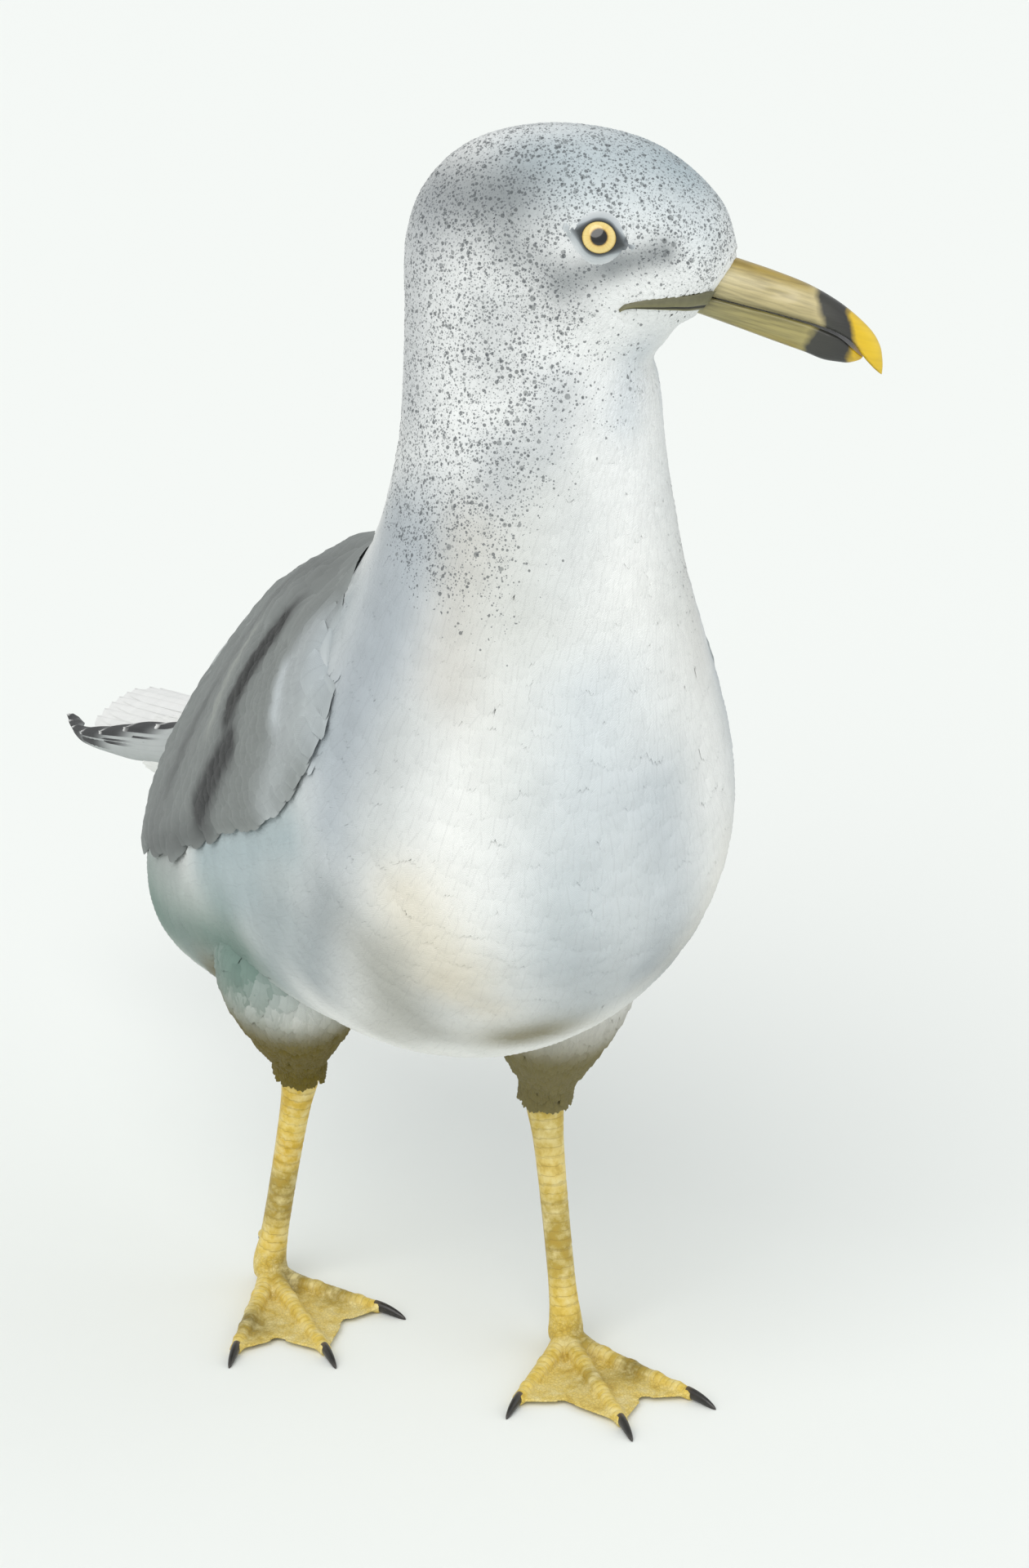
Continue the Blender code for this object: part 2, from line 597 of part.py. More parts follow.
def make_hallux(name, leg, side, parts):
    """The small raised hind toe behind the tarsus, with its claw."""
    middle = toe_angles(leg, side)["middle"]
    back = -np.array([math.cos(middle), math.sin(middle), 0.0])
    heel, hub = np.array(leg["heel"], float), np.array([leg["foot"][0], leg["foot"][1], HUB_HEIGHT])
    shank = heel + (heel[2] - HALLUX_HEIGHT) / (heel[2] - HUB_HEIGHT) * (hub - heel)
    start = shank + back * (TARSUS_RADII[-1] + GAP)
    line = drooping_line(start, back, HALLUX_LENGTH, HALLUX_DROP)
    as_mesh(tube("hallux_" + name, line, HALLUX_RADII, ("leg", LEG_YELLOW), parts, 2), parts)
    line = drooping_line(line[-1] + back * 2 * GAP, back, HALLUX_CLAW_LENGTH, HALLUX_CLAW_DROP)
    radii = claw_radii(HALLUX_CLAW_RADIUS)
    as_mesh(tube(f"claw_{name}_hallux", line, radii, ("claw", HORN_BLACK), parts, 2), parts)


def make_leg(name, leg, belly, parts, helpers):
    side = 1 if name == "left" else -1
    feathers, skin = ("plumage_stained", STAINED), ("leg", LEG_YELLOW)
    as_mesh(tube("thigh_" + name, *thigh_points(leg), feathers, parts, 4), parts)
    cut(belly, as_mesh(tube("hip_" + name, *thigh_points(leg, GAP), feathers, helpers, 4), helpers))
    radii = (*TIBIA_RADII, *TARSUS_RADII)
    as_mesh(tube("shank_" + name, shank_points(leg), radii, skin, parts, 3), parts)
    disc("foot_" + name, *foot_grids(leg, side), skin, parts)
    make_claws(name, leg, side, parts)
    make_hallux(name, leg, side, parts)


# ---- The whole bird ---------------------------------------------------------------------------------
def new_collection(name):
    made = bpy.data.collections.new(name)
    bpy.context.scene.collection.children.link(made)
    return made


def centre_on_floor(*collections):
    """Puts the origin on the floor under the middle of the bird's outline box."""
    bpy.context.view_layer.update()
    graph = bpy.context.evaluated_depsgraph_get()
    corners = []
    for obj in collections[0].objects:
        mesh = obj.evaluated_get(graph).to_mesh()
        corners += [obj.matrix_world @ v.co for v in mesh.vertices]
        obj.evaluated_get(graph).to_mesh_clear()
    points = np.array(corners)
    middle = (points.min(0) + points.max(0)) / 2
    shift = Matrix.Translation(Vector((-middle[0], -middle[1], -points[:, 2].min())))
    for collection in collections:
        for obj in collection.objects:
            obj.data.transform(shift)
    return shift.translation


def main():
    for obj in list(bpy.data.objects):
        bpy.data.objects.remove(obj)
    parts, helpers = new_collection("ring_billed_gull"), new_collection("cutters")
    belly, head = make_body(parts)
    make_eyes(head, parts, helpers)
    make_bill(parts)
    make_wings(parts)
    make_tail(parts)
    for name, leg in LEGS.items():
        make_leg(name, leg, belly, parts, helpers)
    moved = centre_on_floor(parts, helpers)
    print("origin moved by", [round(c / MM, 3) for c in moved], "mm")


main()
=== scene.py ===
"""Ring-billed gull, life size: skin, feathers, bill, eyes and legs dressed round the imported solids.

Lengths are in millimetres in the bird's own frame, the one its solids were drawn in, until a mesh is
made. The bird faces -Y, its left side is +X and the floor is z = 0. The body is one surface, read by
station (0 at the tail root, 16 at the bill) and degrees (0 on the back, 90 on the left side).
"""

import math

import bpy
import numpy as np
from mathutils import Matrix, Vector
from mathutils.kdtree import KDTree


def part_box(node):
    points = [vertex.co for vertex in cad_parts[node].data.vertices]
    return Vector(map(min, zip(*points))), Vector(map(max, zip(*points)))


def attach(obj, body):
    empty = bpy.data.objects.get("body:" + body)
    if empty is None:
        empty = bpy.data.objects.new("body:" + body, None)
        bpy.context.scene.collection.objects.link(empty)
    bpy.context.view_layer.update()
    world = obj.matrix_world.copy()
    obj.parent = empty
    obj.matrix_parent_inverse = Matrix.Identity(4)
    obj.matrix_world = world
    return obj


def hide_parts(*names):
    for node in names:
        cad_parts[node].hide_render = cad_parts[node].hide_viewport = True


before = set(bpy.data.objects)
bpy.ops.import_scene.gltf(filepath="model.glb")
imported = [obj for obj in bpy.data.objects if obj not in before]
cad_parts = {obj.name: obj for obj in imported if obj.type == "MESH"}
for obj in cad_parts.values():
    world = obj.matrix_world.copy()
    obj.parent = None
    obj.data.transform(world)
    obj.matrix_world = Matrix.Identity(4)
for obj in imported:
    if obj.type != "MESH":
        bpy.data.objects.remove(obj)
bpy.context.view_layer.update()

MM = 0.001

# ---- The solids' own sizes, in millimetres and degrees ----------------------------------------------
HEAD_CENTRE = (-68.0, 276.0)
HEAD_PITCH = 15.0
HEAD_YAW = 56.0
TURN_AXIS_Y = -57.0
TURN_STATIONS = (6.0, 10.0)
# (y, z) on the back line, (y, z) on the belly line, half width, how far the widest place sits off middle
TRUNK_STATIONS = (
    ((125, 120), (125, 96), 20, 0.00),  # tail root
    ((91, 158), (94, 68), 32.5, -0.58),  # vent
    ((53, 179), (47, 69.5), 41.5, -0.55),  # flank
    ((17, 194), (6, 79), 46, -0.28),  # belly
    ((-13, 205), (-50, 91), 48, -0.16),  # keel
    ((-25, 213), (-91, 123), 45.8, -0.08),  # breast
    ((-31, 223), (-100.5, 163), 36.5, 0.00),  # crop
    ((-31, 235), (-95, 200), 29.5, 0.00),  # neck base
    ((-31.5, 247), (-88.5, 226), 26.2, 0.00),  # neck
    ((-32, 259), (-85.5, 244), 24.4, 0.00),  # throat
)
# the same as (forward, up) from HEAD_CENTRE along and across the line of the bill
HEAD_STATIONS = (
    ((-34, -10), (22, -21), 22.6, -0.04),  # nape
    ((-32.3, 2.5), (23.5, -16.8), 22.0, -0.08),  # hind crown
    ((-24, 13.4), (24.5, -14), 21.2, -0.10),  # crown
    ((-8.5, 20.6), (25.5, -12.2), 19.8, -0.12),  # eye
    ((10, 21.9), (26.5, -11), 17.6, -0.12),  # brow
    ((25.8, 15.2), (27.5, -10), 13.0, -0.08),  # forehead
    ((33.5, 4.8), (28.8, -8.8), 6.6, 0.00),  # bill root
)
# sections that the folded wings follow behind the tail root, nearest first
GHOST_STATIONS = (
    ((158, 112), (158, 90), 21, 0.00),
    ((194, 104), (194, 85), 21.5, 0.00),
    ((234, 94), (234, 84), 14, 0.00),
)
EYE_RADIUS = 7.0
EYE_PLACE = (7.0, 4.9)
EYE_DEPTH = 5.5
# forward of the head's front, top, bottom, half width
UPPER_BILL = (
    (0.3, 4.4, -3.4, 5.4),
    (7.5, 4.2, -3.2, 4.9),
    (15.5, 3.6, -3.0, 4.2),
    (22.6, 2.1, -3.1, 3.5),
    (28.5, -0.1, -4.3, 2.9),
    (32.8, -2.7, -7.4, 2.4),
    (36, -6.8, -9.8, 1.1),
)
LOWER_BILL = (
    (0.3, -3.8, -8.7, 5.0),
    (7, -3.6, -9.1, 4.5),
    (14.6, -3.4, -9.6, 3.8),
    (20.8, -3.6, -9.9, 3.3),
    (26.4, -4.5, -9.9, 2.8),
    (31.3, -7.4, -9.2, 1.5),
)
# station, degrees of its upper and its lower edge, thickness; wrist first
WING_STATIONS = (
    (5.35, 66, 76, 1.0),
    (5.1, 56, 82, 3.0),
    (4.7, 47, 86, 4.2),
    (4.0, 37, 90, 5.0),
    (3.0, 26, 96, 5.0),
    (2.0, 15, 103, 4.2),
    (1.0, 7, 109, 2.9),
    (0.0, 9, 112, 2.3),
    (-1.0, 38, 110, 2.4),
    (-2.0, 64, 106, 1.8),
    (-3.0, 82, 98, 1.0),
)
WING_ROWS = np.array(WING_STATIONS, float)[::-1]
WING_LIFT = 0.8
WING_EDGE = 0.7
TAIL_FROM, TAIL_TIP = 125.3, 207.0
TAIL_TOP = (119.0, 102.0)
TAIL_DEPTH = (22.0, 1.0)
TAIL_HALF_WIDTH = (15.5, 17.5)
TAIL_CAMBER = (7.5, 6.0)
LEGS = {
    "left": {"knee": (24.5, -20, 101), "heel": (25, -11, 61), "foot": (27.5, -18), "toe_in": 6.0},
    "right": {"knee": (-26.5, 16, 98), "heel": (-20, 31, 59), "foot": (-24.5, 42.5), "toe_in": -2.0},
}
THIGH_SHARES = (-0.40, -0.34, -0.24, -0.10, 0.08, 0.30, 0.60, 0.86)
THIGH_RADII = (4.0, 9.2, 14.0, 17.6, 18.8, 17.6, 12.5, 6.8)

SIDES = {"left": 1, "right": -1}


# ---- The body's surface, as in the solids' source ---------------------------------------------------
def along_bill(forward, up):
    """(y, z) in the head's middle plane: HEAD_CENTRE plus forward and up, both turned by the pitch."""
    pitch = math.radians(HEAD_PITCH)
    y = HEAD_CENTRE[0] - forward * math.cos(pitch) - up * math.sin(pitch)
    z = HEAD_CENTRE[1] - forward * math.sin(pitch) + up * math.cos(pitch)
    return y, z


def station_rows():
    """Every section as (back y, back z, belly y, belly z, half width, shift), hindmost first."""
    behind = [(*back, *belly, width, shift) for back, belly, width, shift in reversed(GHOST_STATIONS)]
    trunk = [(*back, *belly, width, shift) for back, belly, width, shift in TRUNK_STATIONS]
    head = [
        (*along_bill(*back), *along_bill(*belly), width, shift) for back, belly, width, shift in HEAD_STATIONS
    ]
    return np.array(behind + trunk + head, float)


ROWS = station_rows()
BILL_ROOT = len(TRUNK_STATIONS) + len(HEAD_STATIONS) - 1


def between(rows, place):
    """Rows read at fractional places on a Catmull-Rom curve: half of 2b + (c-a)t + ... through a, b, c, d."""
    place = np.clip(np.asarray(place, float), 0, len(rows) - 1)
    k = np.minimum(place.astype(int), len(rows) - 2)
    t = (place - k)[..., None]
    padded = np.vstack([2 * rows[0] - rows[1], rows, 2 * rows[-1] - rows[-2]])
    a, b, c, d = (padded[k + i] for i in range(4))
    return 0.5 * (2 * b + (c - a) * t + (2 * a - 5 * b + 4 * c - d) * t**2 + (3 * b - a - 3 * c + d) * t**3)


def smooth_step(x, low, high):
    """3x^2 - 2x^3 between low and high, 0 before and 1 after."""
    x = np.clip((np.asarray(x, float) - low) / (high - low), 0, 1)
    return x * x * (3 - 2 * x)


def turned(points, angle):
    """Points turned about the upright line x = 0, y = TURN_AXIS_Y."""
    x, y = points[..., 0], points[..., 1] - TURN_AXIS_Y
    c, s = np.cos(angle), np.sin(angle)
    return np.stack([x * c - y * s, x * s + y * c + TURN_AXIS_Y, points[..., 2]], -1)


def unturned(points, axis_y):
    """The turn of the head taken back. A direction has its axis at 0."""
    angle = math.radians(HEAD_YAW)
    x, y = points[..., 0], points[..., 1] - axis_y
    c, s = math.cos(angle), math.sin(angle)
    return np.stack([x * c + y * s, y * c - x * s + axis_y, points[..., 2]], -1)


def even(*values):
    """Numbers or arrays made arrays of one shape."""
    return np.broadcast_arrays(*(np.asarray(v, float) for v in values))


def body_point(station, degrees):
    """An oval between back and belly line: side = w sin(a) (1 + shift cos(a)), turned along the neck."""
    station, degrees = even(station, degrees)
    row = between(ROWS, station + len(GHOST_STATIONS))
    phi = np.radians(degrees)
    up = np.cos(phi)
    side = row[..., 4] * np.sin(phi) * (1 + row[..., 5] * up)
    y = row[..., 2] + (row[..., 0] - row[..., 2]) * (1 + up) / 2
    z = row[..., 3] + (row[..., 1] - row[..., 3]) * (1 + up) / 2
    first, last = TURN_STATIONS
    angle = math.radians(HEAD_YAW) * smooth_step(station, first, last)
    return turned(np.stack([side, y, z], -1), angle)


def unit(vectors):
    """Vectors divided by their lengths."""
    return vectors / np.maximum(np.linalg.norm(vectors, axis=-1, keepdims=True), 1e-9)


def in_head(forward, side, up):
    """A point in the head's own directions, with the head turned."""
    y, z = along_bill(np.asarray(forward, float), np.asarray(up, float))
    side = np.broadcast_to(np.asarray(side, float), np.shape(y))
    return turned(np.stack([side, y, z], -1), math.radians(HEAD_YAW))


def direction_in_head(forward, side, up):
    """A direction in the head's own directions, with the head turned."""
    return in_head(forward, side, up) - in_head(0, 0, 0)


class Surface:
    """A surface of two parameters: its points, outward direction and two slopes, by short steps."""

    def __init__(self, point, steps, sign=1):
        self.point, self.steps, self.sign = point, steps, sign

    def slopes(self, s, d):
        """How far a point moves for one of s and for one of d."""
        hs, hd = self.steps
        along = (self.point(s + hs, d) - self.point(s - hs, d)) / (2 * hs)
        around = (self.point(s, d + hd) - self.point(s, d - hd)) / (2 * hd)
        return along, around

    def normal(self, s, d):
        """The outward direction, square to both slopes."""
        along, around = self.slopes(s, d)
        return self.sign * unit(np.cross(along, around))


BODY = Surface(body_point, (0.02, 1.0))


def eye_axis():
    """Centre and outward direction of the left eye before the head turns: in from the nearest face."""
    y, z = along_bill(*EYE_PLACE)
    stations, degrees = np.meshgrid(np.linspace(11, 15, 161), np.linspace(20, 150, 261), indexing="ij")
    face, outward = body_point(stations, degrees), BODY.normal(stations, degrees)
    face, outward = unturned(face, TURN_AXIS_Y), unturned(outward, 0.0)
    nearest = np.hypot(face[..., 1] - y, face[..., 2] - z).argmin()
    outward = outward.reshape(-1, 3)[nearest]
    return face.reshape(-1, 3)[nearest] - EYE_DEPTH * outward, outward


EYE_CENTRE, EYE_SIGHT = eye_axis()


def eye_centre(side):
    """The eyeball's centre with the head turned. side is 1 for the left eye."""
    return turned(EYE_CENTRE * (side, 1, 1), math.radians(HEAD_YAW))


def eye_outward(side):
    """The direction in which the eye looks, with the head turned."""
    outward = EYE_SIGHT * (side, 1, 1)
    return turned(outward + (0, TURN_AXIS_Y, 0), math.radians(HEAD_YAW)) - (0, TURN_AXIS_Y, 0)


EYE_BOX = np.array([list(corner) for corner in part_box("eye_left")])
SHIFT = EYE_BOX.mean(0) - eye_centre(1) * MM  # from the bird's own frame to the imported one, in metres


def placed(points):
    """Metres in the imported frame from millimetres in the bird's own."""
    return np.asarray(points, float) * MM + SHIFT


def linear(code):
    """A linear colour from an sRGB hex value."""
    srgb = np.array([int(code[i : i + 2], 16) / 255 for i in (1, 3, 5)])
    return np.where(srgb <= 0.04045, srgb / 12.92, ((srgb + 0.055) / 1.055) ** 2.4)


# ---- Camera, floor and light ------------------------------------------------------------------------
VIEW_FROM = (-340.6, -904.5, 442.3)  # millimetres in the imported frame
VIEW_TURN, VIEW_RISE = -23.07, 18.61  # degrees
LENS, SENSOR = 96.3, 36.0  # millimetres
FLOOR_HALF = 30.0  # metres


def make_camera():
    """A camera at the view's own angle, with no roll and no shift."""
    turn, rise = math.radians(VIEW_TURN), math.radians(VIEW_RISE)
    back = Vector((math.sin(turn) * math.cos(rise), -math.cos(turn) * math.cos(rise), math.sin(rise)))
    data = bpy.data.cameras.new("view")
    data.lens, data.sensor_width, data.sensor_fit = LENS, SENSOR, "AUTO"
    data.clip_start, data.clip_end = 0.05, 60.0
    camera = bpy.data.objects.new("view", data)
    camera.location = [v * MM for v in VIEW_FROM]
    camera.rotation_mode = "QUATERNION"
    camera.rotation_quaternion = (-back).to_track_quat("-Z", "Y")
    bpy.context.scene.collection.objects.link(camera)
    bpy.context.scene.camera = camera
    bpy.context.scene.view_settings.view_transform = "Standard"


def soft_sun(name, towards, strength, angle, tint):
    """A sun seen through a large diffuser: even over the floor, with soft shadows."""
    data = bpy.data.lights.new(name, "SUN")
    data.energy, data.angle, data.color = strength, math.radians(angle), tint
    light = bpy.data.objects.new(name, data)
    light.rotation_mode = "QUATERNION"
    light.rotation_quaternion = Vector(towards).to_track_quat("Z", "Y")
    bpy.context.scene.collection.objects.link(light)


def make_stage():
    """A plain pale floor, an even pale sky and two very soft suns."""
    world = bpy.data.worlds.new("studio")
    bpy.context.scene.world = world
    world.use_nodes = True
    sky = world.node_tree.nodes["Background"]
    sky.inputs["Color"].default_value = (0.95, 0.965, 0.975, 1)
    sky.inputs["Strength"].default_value = 0.70
    soft_sun("key", (-0.75, -0.85, 1.0), 1.55, 50, (1.0, 0.985, 0.96))
    soft_sun("fill", (1.5, -1.0, 0.7), 0.45, 70, (0.95, 0.975, 1.0))
    mesh = bpy.data.meshes.new("floor")
    corners = [(x * FLOOR_HALF, y * FLOOR_HALF, 0) for x, y in ((-1, -1), (1, -1), (1, 1), (-1, 1))]
    mesh.from_pydata(corners, [], [(0, 1, 2, 3)])
    floor = bpy.data.objects.new("floor", mesh)
    bpy.context.scene.collection.objects.link(floor)
    # a plain backdrop sheet: no gloss
    white = (*linear("#F1F4F1"), 1)
    paper, _, _ = new_material("matt_paper", Base_Color=white, Roughness=0.95, Specular_IOR_Level=0.1)
    mesh.materials.append(paper)


# ---- Making meshes ----------------------------------------------------------------------------------
def grid_faces(rows, columns, around=False, flip=False):
    """Quads between the points of a rows x columns grid, joined round its columns if around."""
    r = np.arange(rows - 1)[:, None]
    c = np.arange(columns if around else columns - 1)[None, :]
    n = (c + 1) % columns
    a, b = r * columns + c, r * columns + n
    quads = np.stack([a, b, b + columns, a + columns], -1).reshape(-1, 4)
    return quads[:, ::-1] if flip else quads


def build_mesh(name, points, faces, attributes=None, uvs=None, sharp=None):
    """A mesh object from points in millimetres and faces as arrays of one size each, in one go.

    attributes are {name: values for each point}, three columns for a colour and one for a number.
    uvs are {name: (x, y) for each point}. Edges that turn more than sharp degrees are shaded sharp."""
    mesh = bpy.data.meshes.new(name)
    points = placed(points).reshape(-1, 3)
    faces = [np.asarray(f, np.int64) for f in faces if len(f)]
    loops = np.concatenate([f.reshape(-1) for f in faces])
    sizes = np.concatenate([np.full(len(f), f.shape[1]) for f in faces])
    starts = np.concatenate([[0], np.cumsum(sizes)[:-1]])
    mesh.vertices.add(len(points))
    mesh.vertices.foreach_set("co", points.reshape(-1))
    mesh.loops.add(len(loops))
    mesh.loops.foreach_set("vertex_index", loops)
    mesh.polygons.add(len(sizes))
    mesh.polygons.foreach_set("loop_start", starts)
    mesh.polygons.foreach_set("loop_total", sizes)
    mesh.polygons.foreach_set("use_smooth", np.ones(len(sizes), bool))
    mesh.update(calc_edges=True)
    for key, values in (uvs or {}).items():
        layer = mesh.uv_layers.new(name=key)
        layer.uv.foreach_set("vector", np.asarray(values, float).reshape(-1, 2)[loops].reshape(-1))
    set_attributes(mesh, attributes or {})
    mesh.validate()
    if sharp:
        mesh.set_sharp_from_angle(angle=math.radians(sharp))
    made = bpy.data.objects.new(name, mesh)
    bpy.context.scene.collection.objects.link(made)
    return made


def set_attributes(mesh, attributes):
    """Stores colours (three columns) and numbers (one) on a mesh's points."""
    for key, values in attributes.items():
        values = np.asarray(values, float)
        if values.ndim > 1 and values.shape[-1] == 3:
            rgba = np.concatenate([values.reshape(-1, 3), np.ones((values.size // 3, 1))], 1)
            mesh.attributes.new(key, "FLOAT_COLOR", "POINT").data.foreach_set("color", rgba.reshape(-1))
        else:
            mesh.attributes.new(key, "FLOAT", "POINT").data.foreach_set("value", values.reshape(-1))


def finish_piece(obj, material, slot, *nodes):
    """Gives a piece its finish, hides the solids it stands for, and lets it ride on the bird."""
    obj.data.materials.append(material)
    return ride_and_replace(obj, slot, *nodes)


def ride_and_replace(obj, slot, *nodes):
    """Lets a piece ride on the bird's root and hides the solids it stands for; slot is not used."""
    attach(obj, "root")
    if nodes:
        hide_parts(*nodes)
    return obj


# ---- Markings and painted shade, the same on skin and coat ------------------------------------------
WHITE, HEAD_WHITE, MANTLE_GREY = "#F0F1EE", "#EFF1F0", "#A0A5A6"
HEAD_WHITE_FROM, HEAD_WHITE_FULL = 7.2, 8.5  # stations
MANTLE_REACH, MANTLE_FADE = 5, 8  # degrees past its edge at which the grey ends, and over which it fades
COAT_DEPTH = (  # station, millimetres from the skin to the feathers' tips
    (-0.5, 2.6), (1.0, 3.4), (3.0, 4.0), (5.0, 3.6), (7.0, 2.8), (9.0, 2.1), (10.0, 1.8),
    (12.0, 1.4), (14.0, 1.15), (15.4, 0.7), (16.0, 0.45),
)
MANTLE_EDGE = (  # station, degrees from the middle of the back to the end of the grey
    (0.6, 0), (1.1, 66), (3.0, 78), (4.7, 70), (5.1, 56), (5.7, 52), (6.3, 45), (6.9, 28), (7.2, 0),
)
# soft patches, most of them painted shade: grey, blue-grey and sage under and beside the wing, low on the
# flank and on the neck; the rest are cream and olive stains and the head's own markings.
# Columns: from and to (station, degrees), reach in millimetres, strength, colour, and how much of it the
# other side of the bird has
MARKS_AND_PAINTED_SHADE = (
    ((6.9, 266), (4.9, 258), 16, 0.90, "#AEB7BE", 0.7),  # painted shade, blue-grey, on the side below the wing
    ((6.7, 286), (5.3, 270), 11, 0.75, "#A0A8AE", 0.7),  # painted shade beside the mantle
    ((5.4, 301), (4.8, 286), 8, 0.95, "#A9B1B4", 1.0),  # painted shade on the bare places along the wing's front edge
    ((4.9, 277), (3.6, 277), 8, 0.90, "#AAB4BA", 1.0),  # painted shade under the wing's front corner
    ((4.2, 264), (2.8, 258), 12, 0.92, "#A4B4B8", 0.6),  # painted shade, pale blue, under the wing's edge
    ((3.6, 252), (3.0, 246), 9, 0.80, "#9FB0B4", 0.5),
    ((2.2, 254), (1.2, 250), 9, 0.80, "#A8ACAB", 0.6),
    ((7.3, 248), (6.4, 238), 9, 0.60, "#C2BDB3", 0.4),  # painted shade, warm grey, down the breast side
    ((6.8, 222), (6.0, 208), 11, 0.45, "#D2D5D1", 0.3),
    ((5.8, 250), (5.2, 246), 9, 0.50, "#BFC3C1", 0.4),
    ((6.6, 190), (5.4, 186), 13, 0.65, "#C6CFD4", 0.3),  # cool shading over the far half of the breast
    ((7.9, 232), (7.1, 222), 12, 0.60, "#C6C9C4", 0.3),  # painted shade, grey, at the neck's foot
    ((7.7, 212), (7.3, 208), 9, 0.45, "#CBD0D1", 0.3),
    # painted shade, blue-grey, low on the breast and belly
    ((6.0, 160), (5.0, 158), 12, 0.70, "#BAC3C9", 0.3),
    ((5.6, 192), (5.2, 190), 8, 0.50, "#BAC3C6", 0.3),
    ((5.1, 184), (4.7, 176), 10, 0.70, "#B0B8BC", 0.4),
    ((4.9, 158), (4.5, 142), 11, 0.80, "#A1A9AE", 0.3),
    ((4.5, 246), (3.9, 234), 11, 0.90, "#9CA4A7", 0.6),  # painted shade on the lower flank
    ((3.9, 250), (3.3, 228), 12, 0.90, "#A0ABAD", 0.5),
    ((4.6, 230), (4.3, 208), 10, 0.75, "#A4A59D", 0.4),
    ((4.8, 226), (4.0, 212), 8, 0.55, "#A9A99F", 0.3),
    ((5.1, 231), (4.9, 212), 9, 0.75, "#DFD8C5", 0.3),  # cream on the lower breast
    ((4.75, 214), (4.7, 200), 6, 0.45, "#D2C7AE", 0.3),
    ((1.4, 237), (3.0, 233), 14, 1.0, "#6F867D", 0.75),  # painted shade, sage green-grey, on the flank behind
    ((2.3, 220), (2.8, 206), 12, 0.95, "#7D8A87", 0.6),
    ((0.4, 230), (1.4, 220), 12, 0.70, "#98A8A0", 0.8),
    ((4.45, 188), (4.5, 184), 9, 0.90, "#7E7756", 0.2),  # stain by the front leg
    ((12.6, 318), (14.4, 345), 11, 0.75, "#A2B2B9", 1.0),  # bluish crown
    ((12.9, 298), (15.0, 306), 7, 0.30, "#B5C4CB", 1.0),
    ((10.9, 330), (11.9, 303), 10, 0.82, "#757B7E", 1.0),  # dusky nape
    ((10.3, 330), (8.0, 306), 11, 0.60, "#B4B8BB", 1.0),
    ((11.3, 284), (11.6, 260), 4.6, 0.55, "#8F9496", 1.0),  # dusky bar behind and under the eye
    ((11.4, 259), (12.8, 258), 3.6, 0.70, "#858A8C", 1.0),
    ((12.8, 258), (14.2, 270), 3.2, 0.85, "#84898B", 1.0),
    ((10.4, 262), (11.2, 246), 5.0, 0.35, "#AEB1B2", 1.0),
    ((8.1, 252), (7.8, 246), 6.0, 0.40, "#A3AAB1", 1.0),  # painted shade, blue-grey, at the neck's base and under the throat
    ((10.4, 204), (8.8, 204), 6.0, 0.45, "#BFCAD3", 1.0),
    ((9.9, 278), (9.2, 272), 8.0, 0.40, "#9DA3A6", 1.0),
    ((9.0, 240), (8.3, 236), 7.0, 0.55, "#B2B8BC", 0.3),
)


def table(rows, place, column=1):
    """A value read from rows that start with their place, straight between them."""
    rows = np.array(rows, float)
    return np.interp(place, rows[:, 0], rows[:, column])


def laid_over(colour, code, weight):
    """A colour with another laid over it, by weight."""
    return colour * (1 - weight[..., None]) + linear(code) * weight[..., None]


def coat_depth(station):
    """How deep the feathers lie over the skin."""
    return table(COAT_DEPTH, station)


def to_segment(points, start, end):
    """Distance from points to a straight line between two places."""
    line = end - start
    share = np.clip(((points - start) @ line) / max(line @ line, 1e-9), 0, 1)
    return np.linalg.norm(points - start - share[..., None] * line, axis=-1)


def from_back(degrees):
    """Degrees from the middle of the back, 0 to 180, on either side."""
    return np.abs((np.asarray(degrees, float) + 180) % 360 - 180)


def is_mantle(station, degrees):
    """1 on the grey back, falling to 0 over a few degrees past its edge."""
    inside = table(MANTLE_EDGE, station) + MANTLE_REACH - from_back(degrees)
    return smooth_step(inside, 0, MANTLE_FADE)


def body_colour(station, degrees, points):
    """White, with each patch of marking or painted shade laid over as strength * exp(-(distance / reach)^2),
    grey mantle last.
    """
    station, degrees = np.broadcast_arrays(station, degrees)
    colour = laid_over(linear(WHITE), HEAD_WHITE, smooth_step(station, HEAD_WHITE_FROM, HEAD_WHITE_FULL))
    for (s0, d0), (s1, d1), reach, strength, code, other in MARKS_AND_PAINTED_SHADE:
        for share, flip in ((1, 1), (other, -1)):
            ends = body_point(np.array([s0, s1]), flip * np.array([d0, d1], float))
            weight = share * strength * np.exp(-((to_segment(points, *ends) / reach) ** 2))
            colour = laid_over(colour, code, weight)
    return laid_over(colour, MANTLE_GREY, is_mantle(station, degrees))


def speckle(station, degrees):
    """How thickly dark dots lie: thick on nape and hind neck, thin on face and throat, none below."""
    back = from_back(degrees)
    neck = smooth_step(146 - back, 0, 58) * smooth_step(station, 6.75, 7.45)
    neck = np.maximum(neck, 0.22 * smooth_step(station, 8.6, 9.4) * smooth_step(172 - back, 0, 25))
    face = smooth_step(124 - back, 0, 66) * 0.85 + 0.10 * smooth_step(150 - back, 0, 30)
    share = smooth_step(station, 11.0, 12.6)
    thick = neck * (1 - share) + face * share
    return np.clip(thick * (1 - is_mantle(station, degrees)) * smooth_step(16.1 - station, 0, 0.6), 0, 1)


# ---- Materials --------------------------------------------------------------------------------------
OVER = {"data_type": "RGBA"}  # a Mix node's settings to lay one colour over another
SHADED = {"data_type": "RGBA", "blend_type": "MULTIPLY"}  # and to darken one by another


